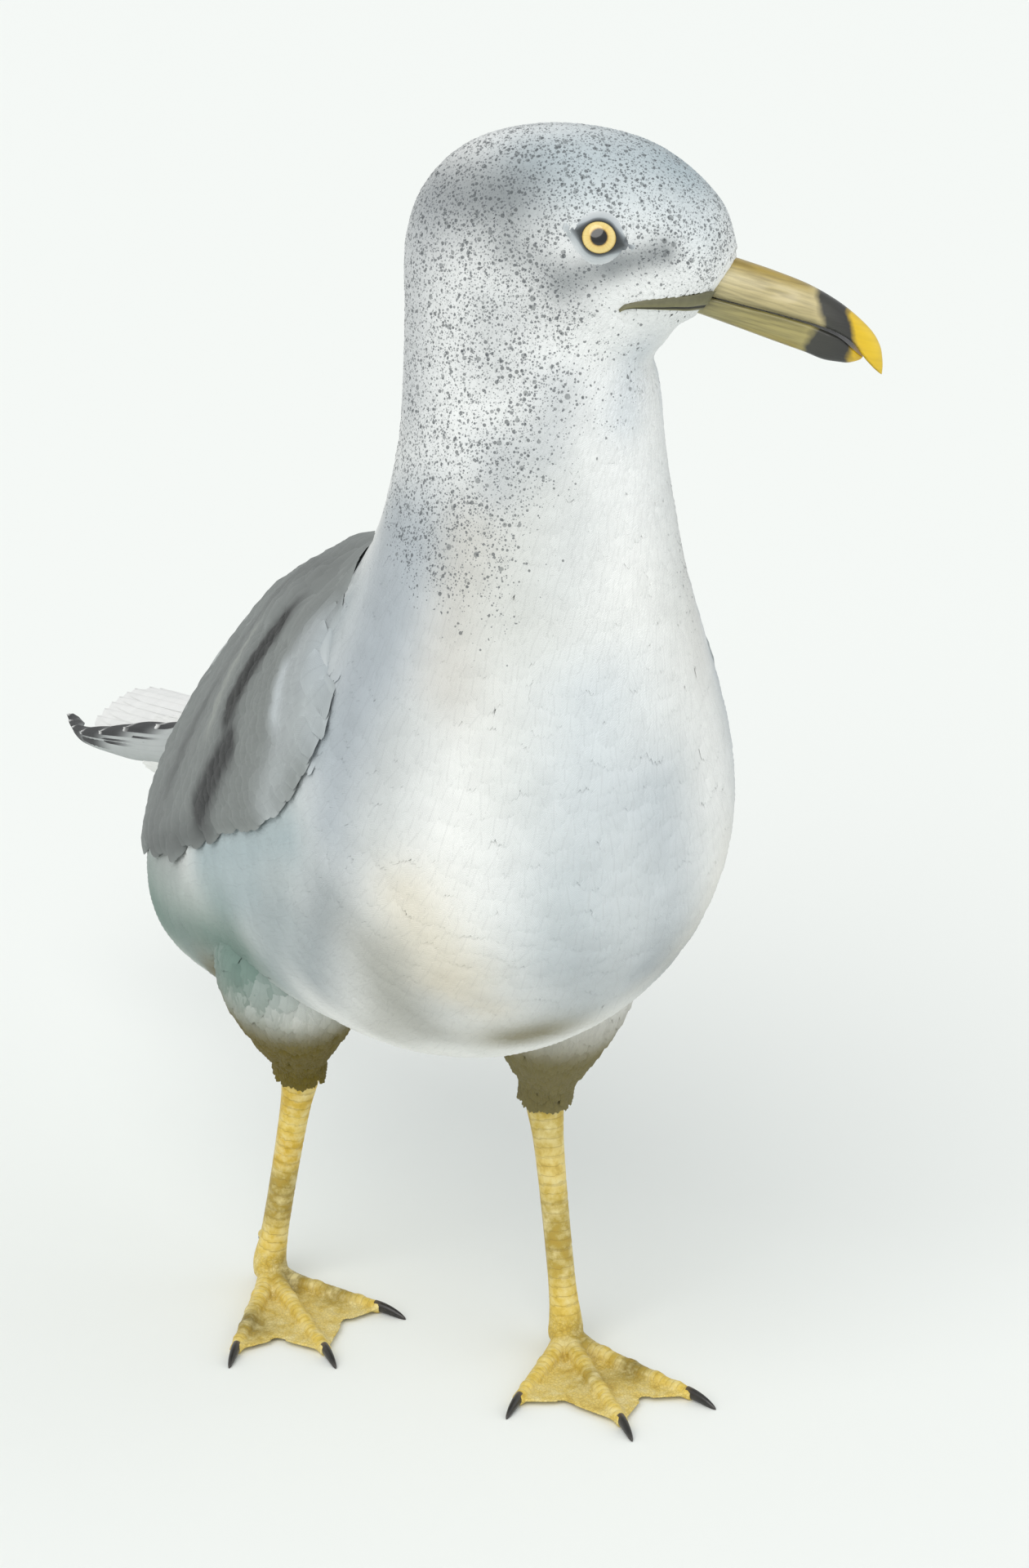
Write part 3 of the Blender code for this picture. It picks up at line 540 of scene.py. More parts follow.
def node(tree, kind, inputs=(), out=0, stops=(), **settings):
    """Adds one node and gives one of its outputs, or the node itself where out is None.

    kind may also be a node that is there already. inputs are {socket: constant, sRGB hex or an output},
    or their values in the sockets' order. settings are its own properties, and stops are its colour
    ramp's (place, grey or hex) pairs."""
    made = tree.nodes.new("ShaderNode" + kind) if isinstance(kind, str) else kind
    for key, value in settings.items():
        setattr(made, key, value)
    for index, (place, look) in enumerate(stops):
        elements = made.color_ramp.elements
        element = elements[index] if index < 2 else elements.new(place)
        element.position = place
        element.color = (*linear(look), 1) if isinstance(look, str) else (look, look, look, 1)
    for key, value in inputs.items() if isinstance(inputs, dict) else enumerate(inputs):
        if isinstance(value, bpy.types.NodeSocket):
            tree.links.new(value, made.inputs[key])
        else:
            made.inputs[key].default_value = (*linear(value), 1) if isinstance(value, str) else value
    return made if out is None else made.outputs[out]


def new_material(name, **sockets):
    """A material with a Principled shader whose constants are set on its own sockets."""
    material = bpy.data.materials.new(name)
    material.use_nodes = True
    shader = material.node_tree.nodes["Principled BSDF"]
    for key, value in sockets.items():
        shader.inputs[key.replace("_", " ")].default_value = value
    return material, material.node_tree, shader


DOT_LAYERS = (  # spacing and largest radius in millimetres, strength, colour, shift, how thick
    (1.9, 0.70, 0.58, "#565B5D", 0.0, 0.75),
    (1.15, 0.50, 0.72, "#484D50", 5.2, 1.0),
    (0.72, 0.35, 0.70, "#4C5155", 7.3, 1.25),
    (0.46, 0.22, 0.62, "#545960", 3.1, 1.4),
)
BARB_GAP = 0.55  # millimetres, where real barbs are 0.2 apart, so that they show at all


def dots(tree, place, mask, cell, largest, shift):
    """Round dots: near each random centre, as big as its own random number, there if below the mask."""
    moved = node(tree, "Mapping", {"Vector": place, "Location": (shift, 0, 0)})
    cells = node(tree, "TexVoronoi", {"Vector": moved, "Scale": 1 / (cell * MM)}, None, feature="F1")
    parts = node(tree, "SeparateColor", {"Color": cells.outputs["Color"]}, None)
    size = node(tree, "Math", (parts.outputs[0], 1.5), operation="POWER")
    share = largest / cell
    size = node(tree, "Math", (size, share * 0.65, share * 0.35), operation="MULTIPLY_ADD")
    edge = node(tree, "Math", (size, cells.outputs["Distance"]), operation="SUBTRACT")
    dot = node(tree, "Math", (edge, 14.0), operation="MULTIPLY", use_clamp=True)
    there = node(tree, "Math", (parts.outputs[1], mask), operation="LESS_THAN")
    return node(tree, "Math", (dot, there), operation="MULTIPLY")


def plumage_material(name, vanes=True):
    """Keratin vanes, matt and finely barbed: a soft satin white or grey with dark dots on the head."""
    material, tree, shader = new_material(
        name, Roughness=0.8, IOR=1.5, Specular_IOR_Level=0.22, Sheen_Weight=0.08, Sheen_Roughness=0.6
    )
    place = node(tree, "TexCoord", out="Object")
    colour = node(tree, "Attribute", out="Color", attribute_name="plumage")
    mask = node(tree, "Attribute", out="Fac", attribute_name="speckle")
    # down-soft unevenness about 6 mm across
    cloud = node(tree, "TexNoise", {"Vector": place, "Scale": 1 / (6 * MM), "Detail": 3.0})
    shade = node(tree, "ValToRGB", (cloud,), stops=((0.3, 0.95), (0.62, 1.0)))
    colour = node(tree, "Mix", {0: 1.0, 6: colour, 7: shade}, 2, **SHADED)
    # dots gather in clumps about 7 mm across
    clump = node(tree, "TexNoise", {"Vector": place, "Scale": 1 / (7 * MM), "Detail": 2.0})
    clump = node(tree, "ValToRGB", (clump,), stops=((0.36, 0.35), (0.58, 1.0)))
    clump = node(tree, "Math", (clump, 1.3), operation="MULTIPLY")
    mask = node(tree, "Math", (mask, clump), operation="MULTIPLY")
    for cell, largest, strength, dark, shift, thick in DOT_LAYERS:
        here = node(tree, "Math", (mask, thick), operation="MULTIPLY")
        dot = dots(tree, place, here, cell, largest, shift)
        dot = node(tree, "Math", (dot, strength), operation="MULTIPLY")
        colour = node(tree, "Mix", {0: dot, 6: colour, 7: dark}, 2, **OVER)
    if vanes:
        # barbs leave the shaft at a slant
        vane = node(tree, "UVMap", uv_map="Vane")
        split = node(tree, "SeparateXYZ", (vane,), None)
        across = node(tree, "Math", (split.outputs["X"],), operation="ABSOLUTE")
        slant = node(tree, "Math", (across, -1.3, split.outputs["Y"]), operation="MULTIPLY_ADD")
        turn = node(tree, "Math", (slant, 2 * math.pi / BARB_GAP), operation="MULTIPLY")
        wave = node(tree, "Math", (turn,), operation="SINE")
        barbs = node(tree, "Math", (wave, 0.5, 0.5), operation="MULTIPLY_ADD")
        shaft = node(tree, "Math", (across, 0.14), operation="LESS_THAN")
        for form, strength, dark in ((barbs, 0.05, "#6E7274"), (shaft, 0.07, "#5E6060")):
            share = node(tree, "Math", (form, strength), operation="MULTIPLY")
            colour = node(tree, "Mix", {0: share, 6: colour, 7: dark}, 2, **OVER)
        relief, depth = node(tree, "Math", (barbs, shaft), operation="ADD"), 0.10
    else:
        relief, depth = cloud, 0.4
    bumped = node(tree, "Bump", {"Height": relief, "Distance": depth * MM, "Strength": 0.45})
    node(tree, shader, {"Base Color": colour, "Normal": bumped})
    return material


def eye_material():
    """A wet eyeball: pale yellow iris with fine darker rays, black pupil, under a clear glossy cornea."""
    material, tree, shader = new_material(
        "wet_eye", Roughness=0.18, IOR=1.376, Coat_Weight=1.0, Coat_Roughness=0.02
    )
    place = node(tree, "Attribute", out="Fac", attribute_name="from_sight")
    ray = node(tree, "Attribute", out="Vector", attribute_name="ray")
    rays = node(tree, "TexNoise", {"Vector": ray, "Scale": 34.0, "Detail": 3.0, "Roughness": 0.6})
    ragged = node(tree, "Math", (rays, 0.012, -0.006), operation="MULTIPLY_ADD")
    place = node(tree, "Math", (place, ragged), operation="ADD")
    pupil, iris = PUPIL / 90, IRIS / 90
    colour = node(tree, "ValToRGB", (place,), stops=(
        (0.0, "#050505"), (pupil - 0.006, "#070605"), (pupil + 0.008, "#94763A"), (pupil + 0.03, "#E2C374"),
        (iris - 0.09, "#ECD488"), (iris - 0.03, "#D9B866"), (iris, "#6E5526"), (iris + 0.02, "#1B1815"),
    ))
    fibres = node(tree, "ValToRGB", (rays,), stops=((0.35, 0.80), (0.60, 1.0)))
    colour = node(tree, "Mix", {0: 0.6, 6: colour, 7: fibres}, 2, **SHADED)
    node(tree, shader, {"Base Color": colour})
    return material


def lid_material():
    """Bare orbital skin, matt and finely wrinkled: a thin dark slate rim, then painted shade paling out to
    feathers.
    """
    material, tree, shader = new_material("lid_skin_and_painted_shade", Roughness=0.5, IOR=1.4)
    place = node(tree, "TexCoord", out="Object")
    share = node(tree, "Attribute", out="Fac", attribute_name="share")
    # to a quarter of share the dark rim; past it, painted shade round the eye, grey paling to white
    colour = node(tree, "ValToRGB", (share,), stops=(
        (0.0, "#2B2D2E"), (0.12, "#45494A"), (0.25, "#80868A"), (0.34, "#AEB5B8"), (0.70, "#C6CBCD"),
        (1.0, "#D5D9DA"),
    ))
    grain = node(tree, "TexVoronoi", {"Vector": place, "Scale": 1 / (0.45 * MM)}, "Distance")
    bumped = node(tree, "Bump", {"Height": grain, "Distance": 0.12 * MM, "Strength": 0.5})
    node(tree, shader, {"Base Color": colour, "Normal": bumped})
    return material


RING_SPAN = 40.0  # millimetres of bill over which the ring's shares run
RING_UPPER, RING_LOWER = (0.575, 0.722), (0.528, 0.728)


def bill_material(name, lower):
    """Horn: dull yellow, olive towards base and mouth, a black ring, a clean yellow tip, waxy gloss."""
    material, tree, shader = new_material(
        name, Roughness=0.36, IOR=1.54, Coat_Weight=0.25, Coat_Roughness=0.2
    )
    place = node(tree, "UVMap", uv_map="Horn")
    split = node(tree, "SeparateXYZ", (place,), None)
    forward, up = split.outputs["X"], split.outputs["Y"]
    # growth streaks run along the horn, about 0.7 mm wide and 9 mm long
    stretch = node(tree, "Mapping", {"Vector": place, "Scale": (0.11, 1.4, 1.0)})
    streak = node(tree, "TexNoise", {"Vector": stretch, "Scale": 1.0, "Detail": 4.0})
    blotch = node(tree, "TexNoise", {"Vector": place, "Scale": 0.35, "Detail": 2.0})
    blotch = node(tree, "Math", (blotch, 2.4, -1.2), operation="MULTIPLY_ADD")
    lean = (0.0, 0.0) if lower else (0.75, 2.3)  # the upper half's ring slants forward towards the mouth
    slant = node(tree, "Math", (up, *lean), operation="MULTIPLY_ADD")
    for shift in (blotch, slant):
        forward = node(tree, "Math", (forward, shift), operation="ADD")
    reach = node(tree, "Math", (forward, RING_SPAN), operation="DIVIDE")
    base, middle = ("#9C9464", "#A59A60") if lower else ("#C4B88A", "#BFB181")
    first, last = RING_LOWER if lower else RING_UPPER
    colour = node(tree, "ValToRGB", (reach,), stops=(
        (0.0, base), (0.25, middle), (first - 0.03, middle), (first + 0.012, "#32322B"),
        (last - 0.02, "#262623"), (last + 0.012, "#D9B410"), (1.0, "#E9CC38"),
    ))
    before = node(tree, "ValToRGB", (reach,), stops=((first - 0.06, 1.0), (first, 0.0)))
    # washes before the ring: a slope and a rise of height, the stops of its ramp, strength, colour
    if lower:
        washes = (
            ((-0.2, -1.2), ((0.3, 0.0), (0.75, 1.0)), 0.7, "#A38C2C"),  # yellow keel
            ((0.2, 1.6), ((0.35, 0.0), (0.8, 1.0)), 0.45, "#756E40"),  # dusky olive flank
        )
    else:
        washes = (
            ((0.2, 0.0), ((0.42, 0.0), (0.8, 1.0)), 0.9, "#A08627"),  # bright yellow ridge
            ((0.12, 0.5), ((0.14, 1.0), (0.50, 0.0)), 0.45, "#756E40"),  # olive down towards the mouth
        )
    for rise, stops, strength, code in washes:
        place = node(tree, "Math", (up, *rise), operation="MULTIPLY_ADD")
        wash = node(tree, "ValToRGB", (place,), stops=stops)
        wash = node(tree, "Math", (wash, before), operation="MULTIPLY")
        wash = node(tree, "Math", (wash, strength), operation="MULTIPLY")
        colour = node(tree, "Mix", {0: wash, 6: colour, 7: code}, 2, **OVER)
    shade = node(tree, "ValToRGB", (streak,), stops=((0.36, 0.55), (0.58, 1.0)))
    worn = node(tree, "Math", (before, 0.6, 0.15), operation="MULTIPLY_ADD")
    colour = node(tree, "Mix", {0: worn, 6: colour, 7: shade}, 2, **SHADED)
    bumped = node(tree, "Bump", {"Height": streak, "Distance": 0.25 * MM, "Strength": 0.4})
    node(tree, shader, {"Base Color": colour, "Normal": bumped})
    return material


def grained_material(name, attribute, stops, grain, shade, worn, relief, strength, **sockets):
    """Colours read from an attribute, worn darker and made uneven by a grain so many millimetres wide."""
    material, tree, shader = new_material(name, **sockets)
    place = node(tree, "TexCoord", out="Object")
    share = node(tree, "Attribute", out="Fac", attribute_name=attribute)
    grain = node(tree, "TexNoise", {"Vector": place, "Scale": 1 / (grain * MM), "Detail": 3.0})
    colour = node(tree, "ValToRGB", (share,), stops=stops)
    shade = node(tree, "ValToRGB", (grain,), stops=shade)
    colour = node(tree, "Mix", {0: worn, 6: colour, 7: shade}, 2, **SHADED)
    bumped = node(tree, "Bump", {"Height": grain, "Distance": relief * MM, "Strength": strength})
    node(tree, shader, {"Base Color": colour, "Normal": bumped})
    return material


def gape_material():
    """Bare leathery skin at the mouth's corner: olive-grey, with painted shade for the dark line of the
    closed mouth.
    """
    # the dark stops by the mouth's line are painted shade in the crease where the mouth shuts
    stops = ((0.0, "#2A2924"), (0.16, "#3B3A31"), (0.30, "#7F7C58"), (1.0, "#6E6C54"))
    shade = ((0.3, 0.75), (0.7, 1.0))
    return grained_material("gape_skin", "across", stops, 1.2, shade, 0.6, 0.2, 0.4, Roughness=0.5, IOR=1.4)


def leg_material():
    """Scaled leg skin: ochre-yellow and dry, with plates down its front, small round scales elsewhere."""
    material, tree, shader = new_material("scaled_leg_skin", Roughness=0.52, IOR=1.45)
    place = node(tree, "TexCoord", out="Object")
    colour = node(tree, "Attribute", out="Color", attribute_name="tone")
    bands = node(tree, "Attribute", out="Fac", attribute_name="bands")
    plates = node(tree, "Attribute", out="Fac", attribute_name="plates")
    # paler and deeper patches about 3 mm across, with a dry grain of 0.7 mm over them
    patches = {"Vector": place, "Scale": 1 / (3.2 * MM), "Detail": 5.0, "Roughness": 0.62}
    patch = node(tree, "TexNoise", patches)
    pale = node(tree, "ValToRGB", (patch,), stops=((0.44, 0.0), (0.68, 0.70)))
    deep = node(tree, "ValToRGB", (patch,), stops=((0.32, 0.50), (0.46, 0.0)))
    colour = node(tree, "Mix", {0: pale, 6: colour, 7: "#E9DCA2"}, 2, **OVER)
    colour = node(tree, "Mix", {0: deep, 6: colour, 7: "#B18F26"}, 2, **OVER)
    # small scales, 0.8 mm across
    scales = {"Vector": place, "Scale": 1 / (0.8 * MM)}
    cells = node(tree, "TexVoronoi", scales, "Distance", feature="DISTANCE_TO_EDGE")
    seam = node(tree, "ValToRGB", (cells,), stops=((0.0, 0.0), (0.16, 1.0)))
    # plates' edges: dark where the band's own share passes a whole number
    share = node(tree, "Math", (bands,), operation="FRACT")
    share = node(tree, "Math", (share, 0.5), operation="SUBTRACT")
    near = node(tree, "Math", (share,), operation="ABSOLUTE")
    edge = node(tree, "ValToRGB", (near,), stops=((0.39, 1.0), (0.47, 0.0)))
    relief = node(tree, "Mix", {0: plates, 6: seam, 7: edge}, 2, **OVER)
    low = node(tree, "Math", (1.0, relief), operation="SUBTRACT")
    low = node(tree, "Math", (low, 0.26), operation="MULTIPLY")
    colour = node(tree, "Mix", {0: low, 6: colour, 7: "#7A6526"}, 2, **OVER)
    bumped = node(tree, "Bump", {"Height": relief, "Distance": 0.16 * MM, "Strength": 0.5})
    node(tree, shader, {"Base Color": colour, "Normal": bumped})
    return material


def claw_material():
    """Claw horn: near black, smooth and a little glossy, browner and worn where it grows from the toe."""
    stops = ((0.0, "#5A4B35"), (0.22, "#2C2925"), (0.7, "#191816"), (1.0, "#3A3632"))
    sockets = {"Roughness": 0.38, "IOR": 1.54, "Coat_Weight": 0.15}
    shade = ((0.3, 0.7), (0.65, 1.0))
    return grained_material("claw_horn", "share", stops, 0.9, shade, 0.7, 0.12, 0.3, **sockets)


# ---- More surfaces that feathers lie on -------------------------------------------------------------
def tube_unwrap(low, span, first, length):
    """A closed tube opened along one side: u from degrees, v from low, over span, for s from first."""

    def unwrap(s, d):
        return np.stack([0.02 + 0.96 * ((d % 360) / 360), low + span * (s - first) / length], -1)

    return unwrap


def knee_and_heel(name):
    """The two ends of a thigh's line."""
    return (np.array(LEGS[name][end], float) for end in ("knee", "heel"))


def along_thigh(name, points):
    """Shares of the way from knee to heel at which points lie, and their distances from that line."""
    knee, heel = knee_and_heel(name)
    line = heel - knee
    share = ((points - knee) @ line) / (line @ line)
    return share, np.linalg.norm(points - knee - share[..., None] * line, axis=-1)


def thigh_surface(name):
    """The feathered thigh, an egg about the line from knee to heel: s falls along it and d runs round it."""
    knee, heel = knee_and_heel(name)
    axis = heel - knee
    side = unit(np.cross(axis, (0, 1.0, 0)))
    front = unit(np.cross(side, axis))
    shares = np.array(THIGH_SHARES)

    def point(s, d):
        s, d = even(s, np.radians(d))
        place = np.interp(-s, shares, np.arange(len(shares)))
        radius = between(np.array(THIGH_RADII)[:, None], place)[..., 0]
        round_it = np.cos(d)[..., None] * side + np.sin(d)[..., None] * front
        return knee - s[..., None] * axis + radius[..., None] * round_it

    return Surface(point, (0.01, 2.0), -1)


def wing_surface(side):
    """A folded wing's outer face: s is its station, and d runs from 0 at its upper to 1 at its lower edge."""

    def point(s, d):
        s, d = even(s, d)
        upper, lower, thickness = (table(WING_ROWS, s, i) for i in (1, 2, 3))
        degrees = upper + (lower - upper) * d
        swell = np.sin(np.pi * np.clip(d, 0.0, 1.0)) ** 0.7
        depth = WING_EDGE + np.maximum(0, thickness - WING_EDGE) * swell
        found = body_point(s, degrees) + (WING_LIFT + depth)[..., None] * BODY.normal(s, degrees)
        return found * np.array([side, 1, 1])

    return Surface(point, (0.03, 0.02), side)


def tail_row(share, across):
    """The tail's y, its half width and its top's height, at a share of its length and of its half width."""
    half_width, camber, top = (a + (b - a) * share for a, b in (TAIL_HALF_WIDTH, TAIL_CAMBER, TAIL_TOP))
    return TAIL_FROM + (TAIL_TIP - TAIL_FROM) * share, half_width, top - camber * across**2


def tail_surface():
    """The closed tail as a flat tube: s runs from 0 at its root to -1 at its tip, d round it from the top."""

    def point(s, d):
        s, d = even(s, np.radians(d))
        share = np.clip(-s, -0.2, 1.2)
        across = np.sin(d)
        y, half_width, top = tail_row(share, across)
        y = y - 5.0 * np.maximum(share, 0) ** 4 * across**2
        swell = np.maximum(1 - share, 0) ** 1.6 * np.sqrt(np.maximum(0, 1 - across**2))
        depth = TAIL_DEPTH[1] + (TAIL_DEPTH[0] - TAIL_DEPTH[1]) * swell
        z = np.where(np.cos(d) >= 0, top, top - depth)
        return np.stack([half_width * across, y, z], -1)

    return Surface(point, (0.01, 3.0))


THIGHS = {name: thigh_surface(name) for name in LEGS}
WINGS = {name: wing_surface(side) for name, side in SIDES.items()}
TAIL = tail_surface()


def at_height(surface, s, d, height):
    """A surface's points moved out along its normal by a height in millimetres."""
    s, d = even(s, d)
    return surface.point(s, d) + np.asarray(height)[..., None] * surface.normal(s, d)


# ---- The skin ---------------------------------------------------------------------------------------
THIGH_DEPTH, WING_DEPTH = 2.4, 1.6  # millimetres of feathers over the skin
WING_INNER = 6.5  # how far a wing's flesh reaches in under its outer face, into the body
THIGH_SPAN, TAIL_SPAN = (-0.39, 0.85), (-0.12, 0.55)  # shares of each one's length that the skin follows
WING_SPAN, WING_BREADTH = (0.2, 5.25), (0.02, 0.98)  # stations, shares across
TAIL_INSET = (0.84, 1, 0.72)  # the tail root's section, as shares of the tail's
SKIN_VOXEL, SKIN_RELAX = 1.2, 6  # millimetres, rounds of smoothing
SOCKET_ROOM = 0.15  # millimetres between an eyeball and its socket


def capped_rings(rings, flip=False):
    """Faces over closed rings of points: quads between rings, triangles to a middle point at each end."""
    rows, count = rings.shape[:2]
    points = np.concatenate([rings.reshape(-1, 3), rings[0].mean(0)[None], rings[-1].mean(0)[None]])
    i = np.arange(count)
    n = (i + 1) % count
    last = (rows - 1) * count
    ends = [
        np.stack([n, i, np.full(count, rows * count)], -1),
        np.stack([last + i, last + n, np.full(count, rows * count + 1)], -1),
    ]
    faces = [grid_faces(rows, count, around=True), np.concatenate(ends)]
    return points, [f[:, ::-1] for f in faces] if flip else faces


def flesh_forms():
    """The closed forms that the skin is drawn over: trunk to bill root, thighs, folded wings, tail root."""
    ring = np.arange(0, 360, 5.0)[None, :]
    stations = np.linspace(-0.05, BILL_ROOT, 100)[:, None]
    forms = [capped_rings(at_height(BODY, stations, ring, -coat_depth(stations)))]
    for name in SIDES:
        shares = -np.linspace(*THIGH_SPAN, 26)[:, None]
        forms.append(capped_rings(at_height(THIGHS[name], shares, ring, -THIGH_DEPTH)))
        rows, across = np.linspace(*WING_SPAN, 44)[:, None], np.linspace(*WING_BREADTH, 24)[None, :]
        outer = at_height(WINGS[name], rows, across, -WING_DEPTH)
        inner = at_height(WINGS[name], rows, across[:, ::-1], -WING_INNER)
        loop = np.concatenate([outer, inner], 1)
        forms.append(capped_rings(loop if SIDES[name] > 0 else loop[:, ::-1]))
    shares = -np.linspace(*TAIL_SPAN, 20)[:, None]
    inset = TAIL.point(shares, ring)
    middle = inset.mean(1, keepdims=True)
    forms.append(capped_rings((middle + (inset - middle) * TAIL_INSET)[::-1]))
    return forms


def apply_modifiers(obj):
    """The object's mesh as its modifiers leave it."""
    bpy.context.view_layer.update()
    graph = bpy.context.evaluated_depsgraph_get()
    mesh = bpy.data.meshes.new_from_object(obj.evaluated_get(graph))
    old = obj.data
    obj.modifiers.clear()
    obj.data = mesh
    mesh.name = old.name
    bpy.data.meshes.remove(old)
    return obj


def points_of(obj):
    """A mesh's points in millimetres in the bird's own frame."""
    flat = np.empty(len(obj.data.vertices) * 3, np.float32)
    obj.data.vertices.foreach_get("co", flat)
    return (flat.reshape(-1, 3).astype(float) - SHIFT) / MM


def search_tree(points):
    """A tree that finds the points near a place."""
    tree = KDTree(len(points))
    for index, place in enumerate(points):
        tree.insert(place, index)
    tree.balance()
    return tree


def nearest_parameters(points):
    """Station and degrees of the nearest place on the body, by a search tree over a fine grid."""
    stations, degrees = np.meshgrid(np.linspace(0, BILL_ROOT, 321), np.arange(0, 360, 2.5), indexing="ij")
    grid = at_height(BODY, stations, degrees, -0.5 * coat_depth(stations)).reshape(-1, 3)
    tree = search_tree(grid)
    found = np.array([tree.find(p)[1] for p in points])
    return stations.reshape(-1)[found], degrees.reshape(-1)[found]


def run_together(name, forms, voxel, smoothing):
    """Closed forms made one surface by a voxel remesh, then smoothed."""
    start, points, quads, tris = 0, [], [], []
    for form, (four, three) in forms:
        points.append(form)
        quads.append(four + start)
        tris.append(three + start)
        start += len(form)
    whole = build_mesh(name, np.concatenate(points), [np.concatenate(quads), np.concatenate(tris)])
    remesh = whole.modifiers.new("one_surface", "REMESH")
    remesh.mode, remesh.voxel_size, remesh.use_smooth_shade = "VOXEL", voxel * MM, True
    relax = whole.modifiers.new("relax", "SMOOTH")
    relax.factor, relax.iterations = 0.5, smoothing
    return apply_modifiers(whole)


def make_skin():
    """One skin: the forms run together by a voxel remesh, smoothed, with the eyes' sockets cut."""
    skin = run_together("skin", flesh_forms(), SKIN_VOXEL, SKIN_RELAX)
    sockets = []
    for name, side in SIDES.items():
        radius, place = (EYE_RADIUS + SOCKET_ROOM) * MM, placed(eye_centre(side))
        bpy.ops.mesh.primitive_uv_sphere_add(segments=48, ring_count=24, radius=radius, location=place)
        ball = bpy.context.active_object
        ball.name = "socket_" + name
        cut = skin.modifiers.new("socket_" + name, "BOOLEAN")
        cut.operation, cut.object, cut.solver = "DIFFERENCE", ball, "EXACT"
        sockets.append(ball)
    apply_modifiers(skin)
    for ball in sockets:
        bpy.data.objects.remove(ball)
    points = points_of(skin)
    station, degrees = nearest_parameters(points)
    colour = thigh_stain(body_colour(station, degrees, points), points)
    set_attributes(skin.data, {"plumage": colour, "speckle": speckle(station, degrees)})
    skin.data.shade_smooth()
    return skin


THIGH_STAINS = (  # leg, shares of the thigh where it starts and is full, reach in mm, strength, colour
    ("right", -0.1, 0.35, 24.0, 0.55, "#989A8C"),
    ("right", 0.12, 0.50, 24.0, 1.0, "#65580E"),
    ("left", 0.0, 0.30, 24.0, 0.60, "#979381"),
    ("left", 0.25, 0.58, 22.0, 0.94, "#6E642E"),
)


def thigh_stain(colour, points):
    """Olive-brown down each thigh: grows from the first share to the second, full to 0.8 of its reach."""
    for name, first, full, reach, strength, code in THIGH_STAINS:
        share, away = along_thigh(name, points)
        weight = strength * smooth_step(share, first, full) * (1 - smooth_step(away / reach, 0.8, 1.2))
        colour = laid_over(colour, code, weight)
    return colour


# ---- Feathers ---------------------------------------------------------------------------------------
def scatter(surface, ranges, spacing, keep, seed, count=60000):
    """Places on a surface, none nearer to another than the spacing there.

    Even random parameters are thinned by area, then each place in turn is kept and its neighbours
    within the spacing are dropped. spacing and keep are functions of (s, d)."""
    random = np.random.default_rng(seed)
    (s0, s1), (d0, d1) = ranges
    s, d = random.uniform(s0, s1, count), random.uniform(d0, d1, count)
    along, around = surface.slopes(s, d)
    area = np.linalg.norm(np.cross(along, around), axis=-1)
    gap = np.broadcast_to(spacing(s, d), s.shape)
    need = area / gap**2
    chosen = (random.random(count) < need / np.quantile(need, 0.98)) & keep(s, d)
    s, d, gap = s[chosen], d[chosen], gap[chosen]
    points = surface.point(s, d)
    tree = search_tree(points)
    free = np.ones(len(points), bool)
    kept = []
    for index, place in enumerate(points):
        if free[index]:
            kept.append(index)
            free[[found[1] for found in tree.find_range(place, gap[index])]] = False
    return s[kept], d[kept]


SHARP = 70  # degrees between two faces from which their edge is shaded sharp
PLUME_SPREAD = 0.72  # how far out the outer locks' tips lie, in half widths of the plume


def leaf(rows, columns, widths, offset=0.0, fan=0.0, reach=1.0, breadth=1.0):
    """One closed, thin leaf as (across, along, crown) for each point, and its triangles.

    Its half width follows widths along it, its middle is raised by 1 - across^2, its underside joins
    the two edges, and it ends in a point. offset and fan carry it sideways at its root and at its tip."""
    along = np.append(np.linspace(0, 0.88, rows), 1.0)
    width = np.interp(along[:-1], np.linspace(0, 1, len(widths)), widths) * breadth
    side = np.linspace(-1, 1, columns)
    a = side[None, :] * width[:, None] + (offset + (fan - offset) * along[:-1] ** 0.8)[:, None]
    b = np.broadcast_to(along[:-1, None] * reach, a.shape)
    crown = np.broadcast_to(1 - side[None, :] ** 2, a.shape)
    tip = np.array([[fan, reach, 0.3]])
    points = np.concatenate([np.stack([a, b, crown], -1).reshape(-1, 3), tip])
    top = grid_faces(rows, columns)
    tris = np.concatenate([top[:, [0, 1, 2]], top[:, [0, 2, 3]]])
    last, end = (rows - 1) * columns, rows * columns
    c = np.arange(columns - 1)
    tris = np.concatenate([tris, np.stack([last + c, last + c + 1, np.full(columns - 1, end)], -1)])
    r = np.arange(rows - 1) * columns
    low = [np.stack([r + columns - 1, r, r + columns], -1)]
    low.append(np.stack([r + columns - 1, r + columns, r + 2 * columns - 1], -1))
    low.append(np.array([[end - 1, last, end]]))
    root = np.stack([c[1:] + 1, c[1:], np.zeros(columns - 2, int)], -1)
    return points, np.concatenate([tris, *low, root])


def joined(leaves):
    """Several leaves as one feather."""
    points, faces, start = [], [], 0
    for p, f in leaves:
        points.append(p)
        faces.append(f + start)
        start += len(p)
    return np.concatenate(points), np.concatenate(faces)


def plume(locks):
    """A soft feather: a fan of two or more narrow locks that start together and spread to a round end."""
    places = np.linspace(-PLUME_SPREAD, PLUME_SPREAD, locks)
    breadth = 1.65 * PLUME_SPREAD / (locks - 1)
    return joined([leaf(3, 3, (0.55, 1.0, 0.8), p * 0.3, p, 1 - 0.20 * abs(p) ** 2, breadth) for p in places])


def vane():
    """A firm contour feather: one broad leaf, widest past its middle, with a round end."""
    return leaf(6, 5, (0.35, 0.8, 1.0, 1.0, 0.9, 0.62))


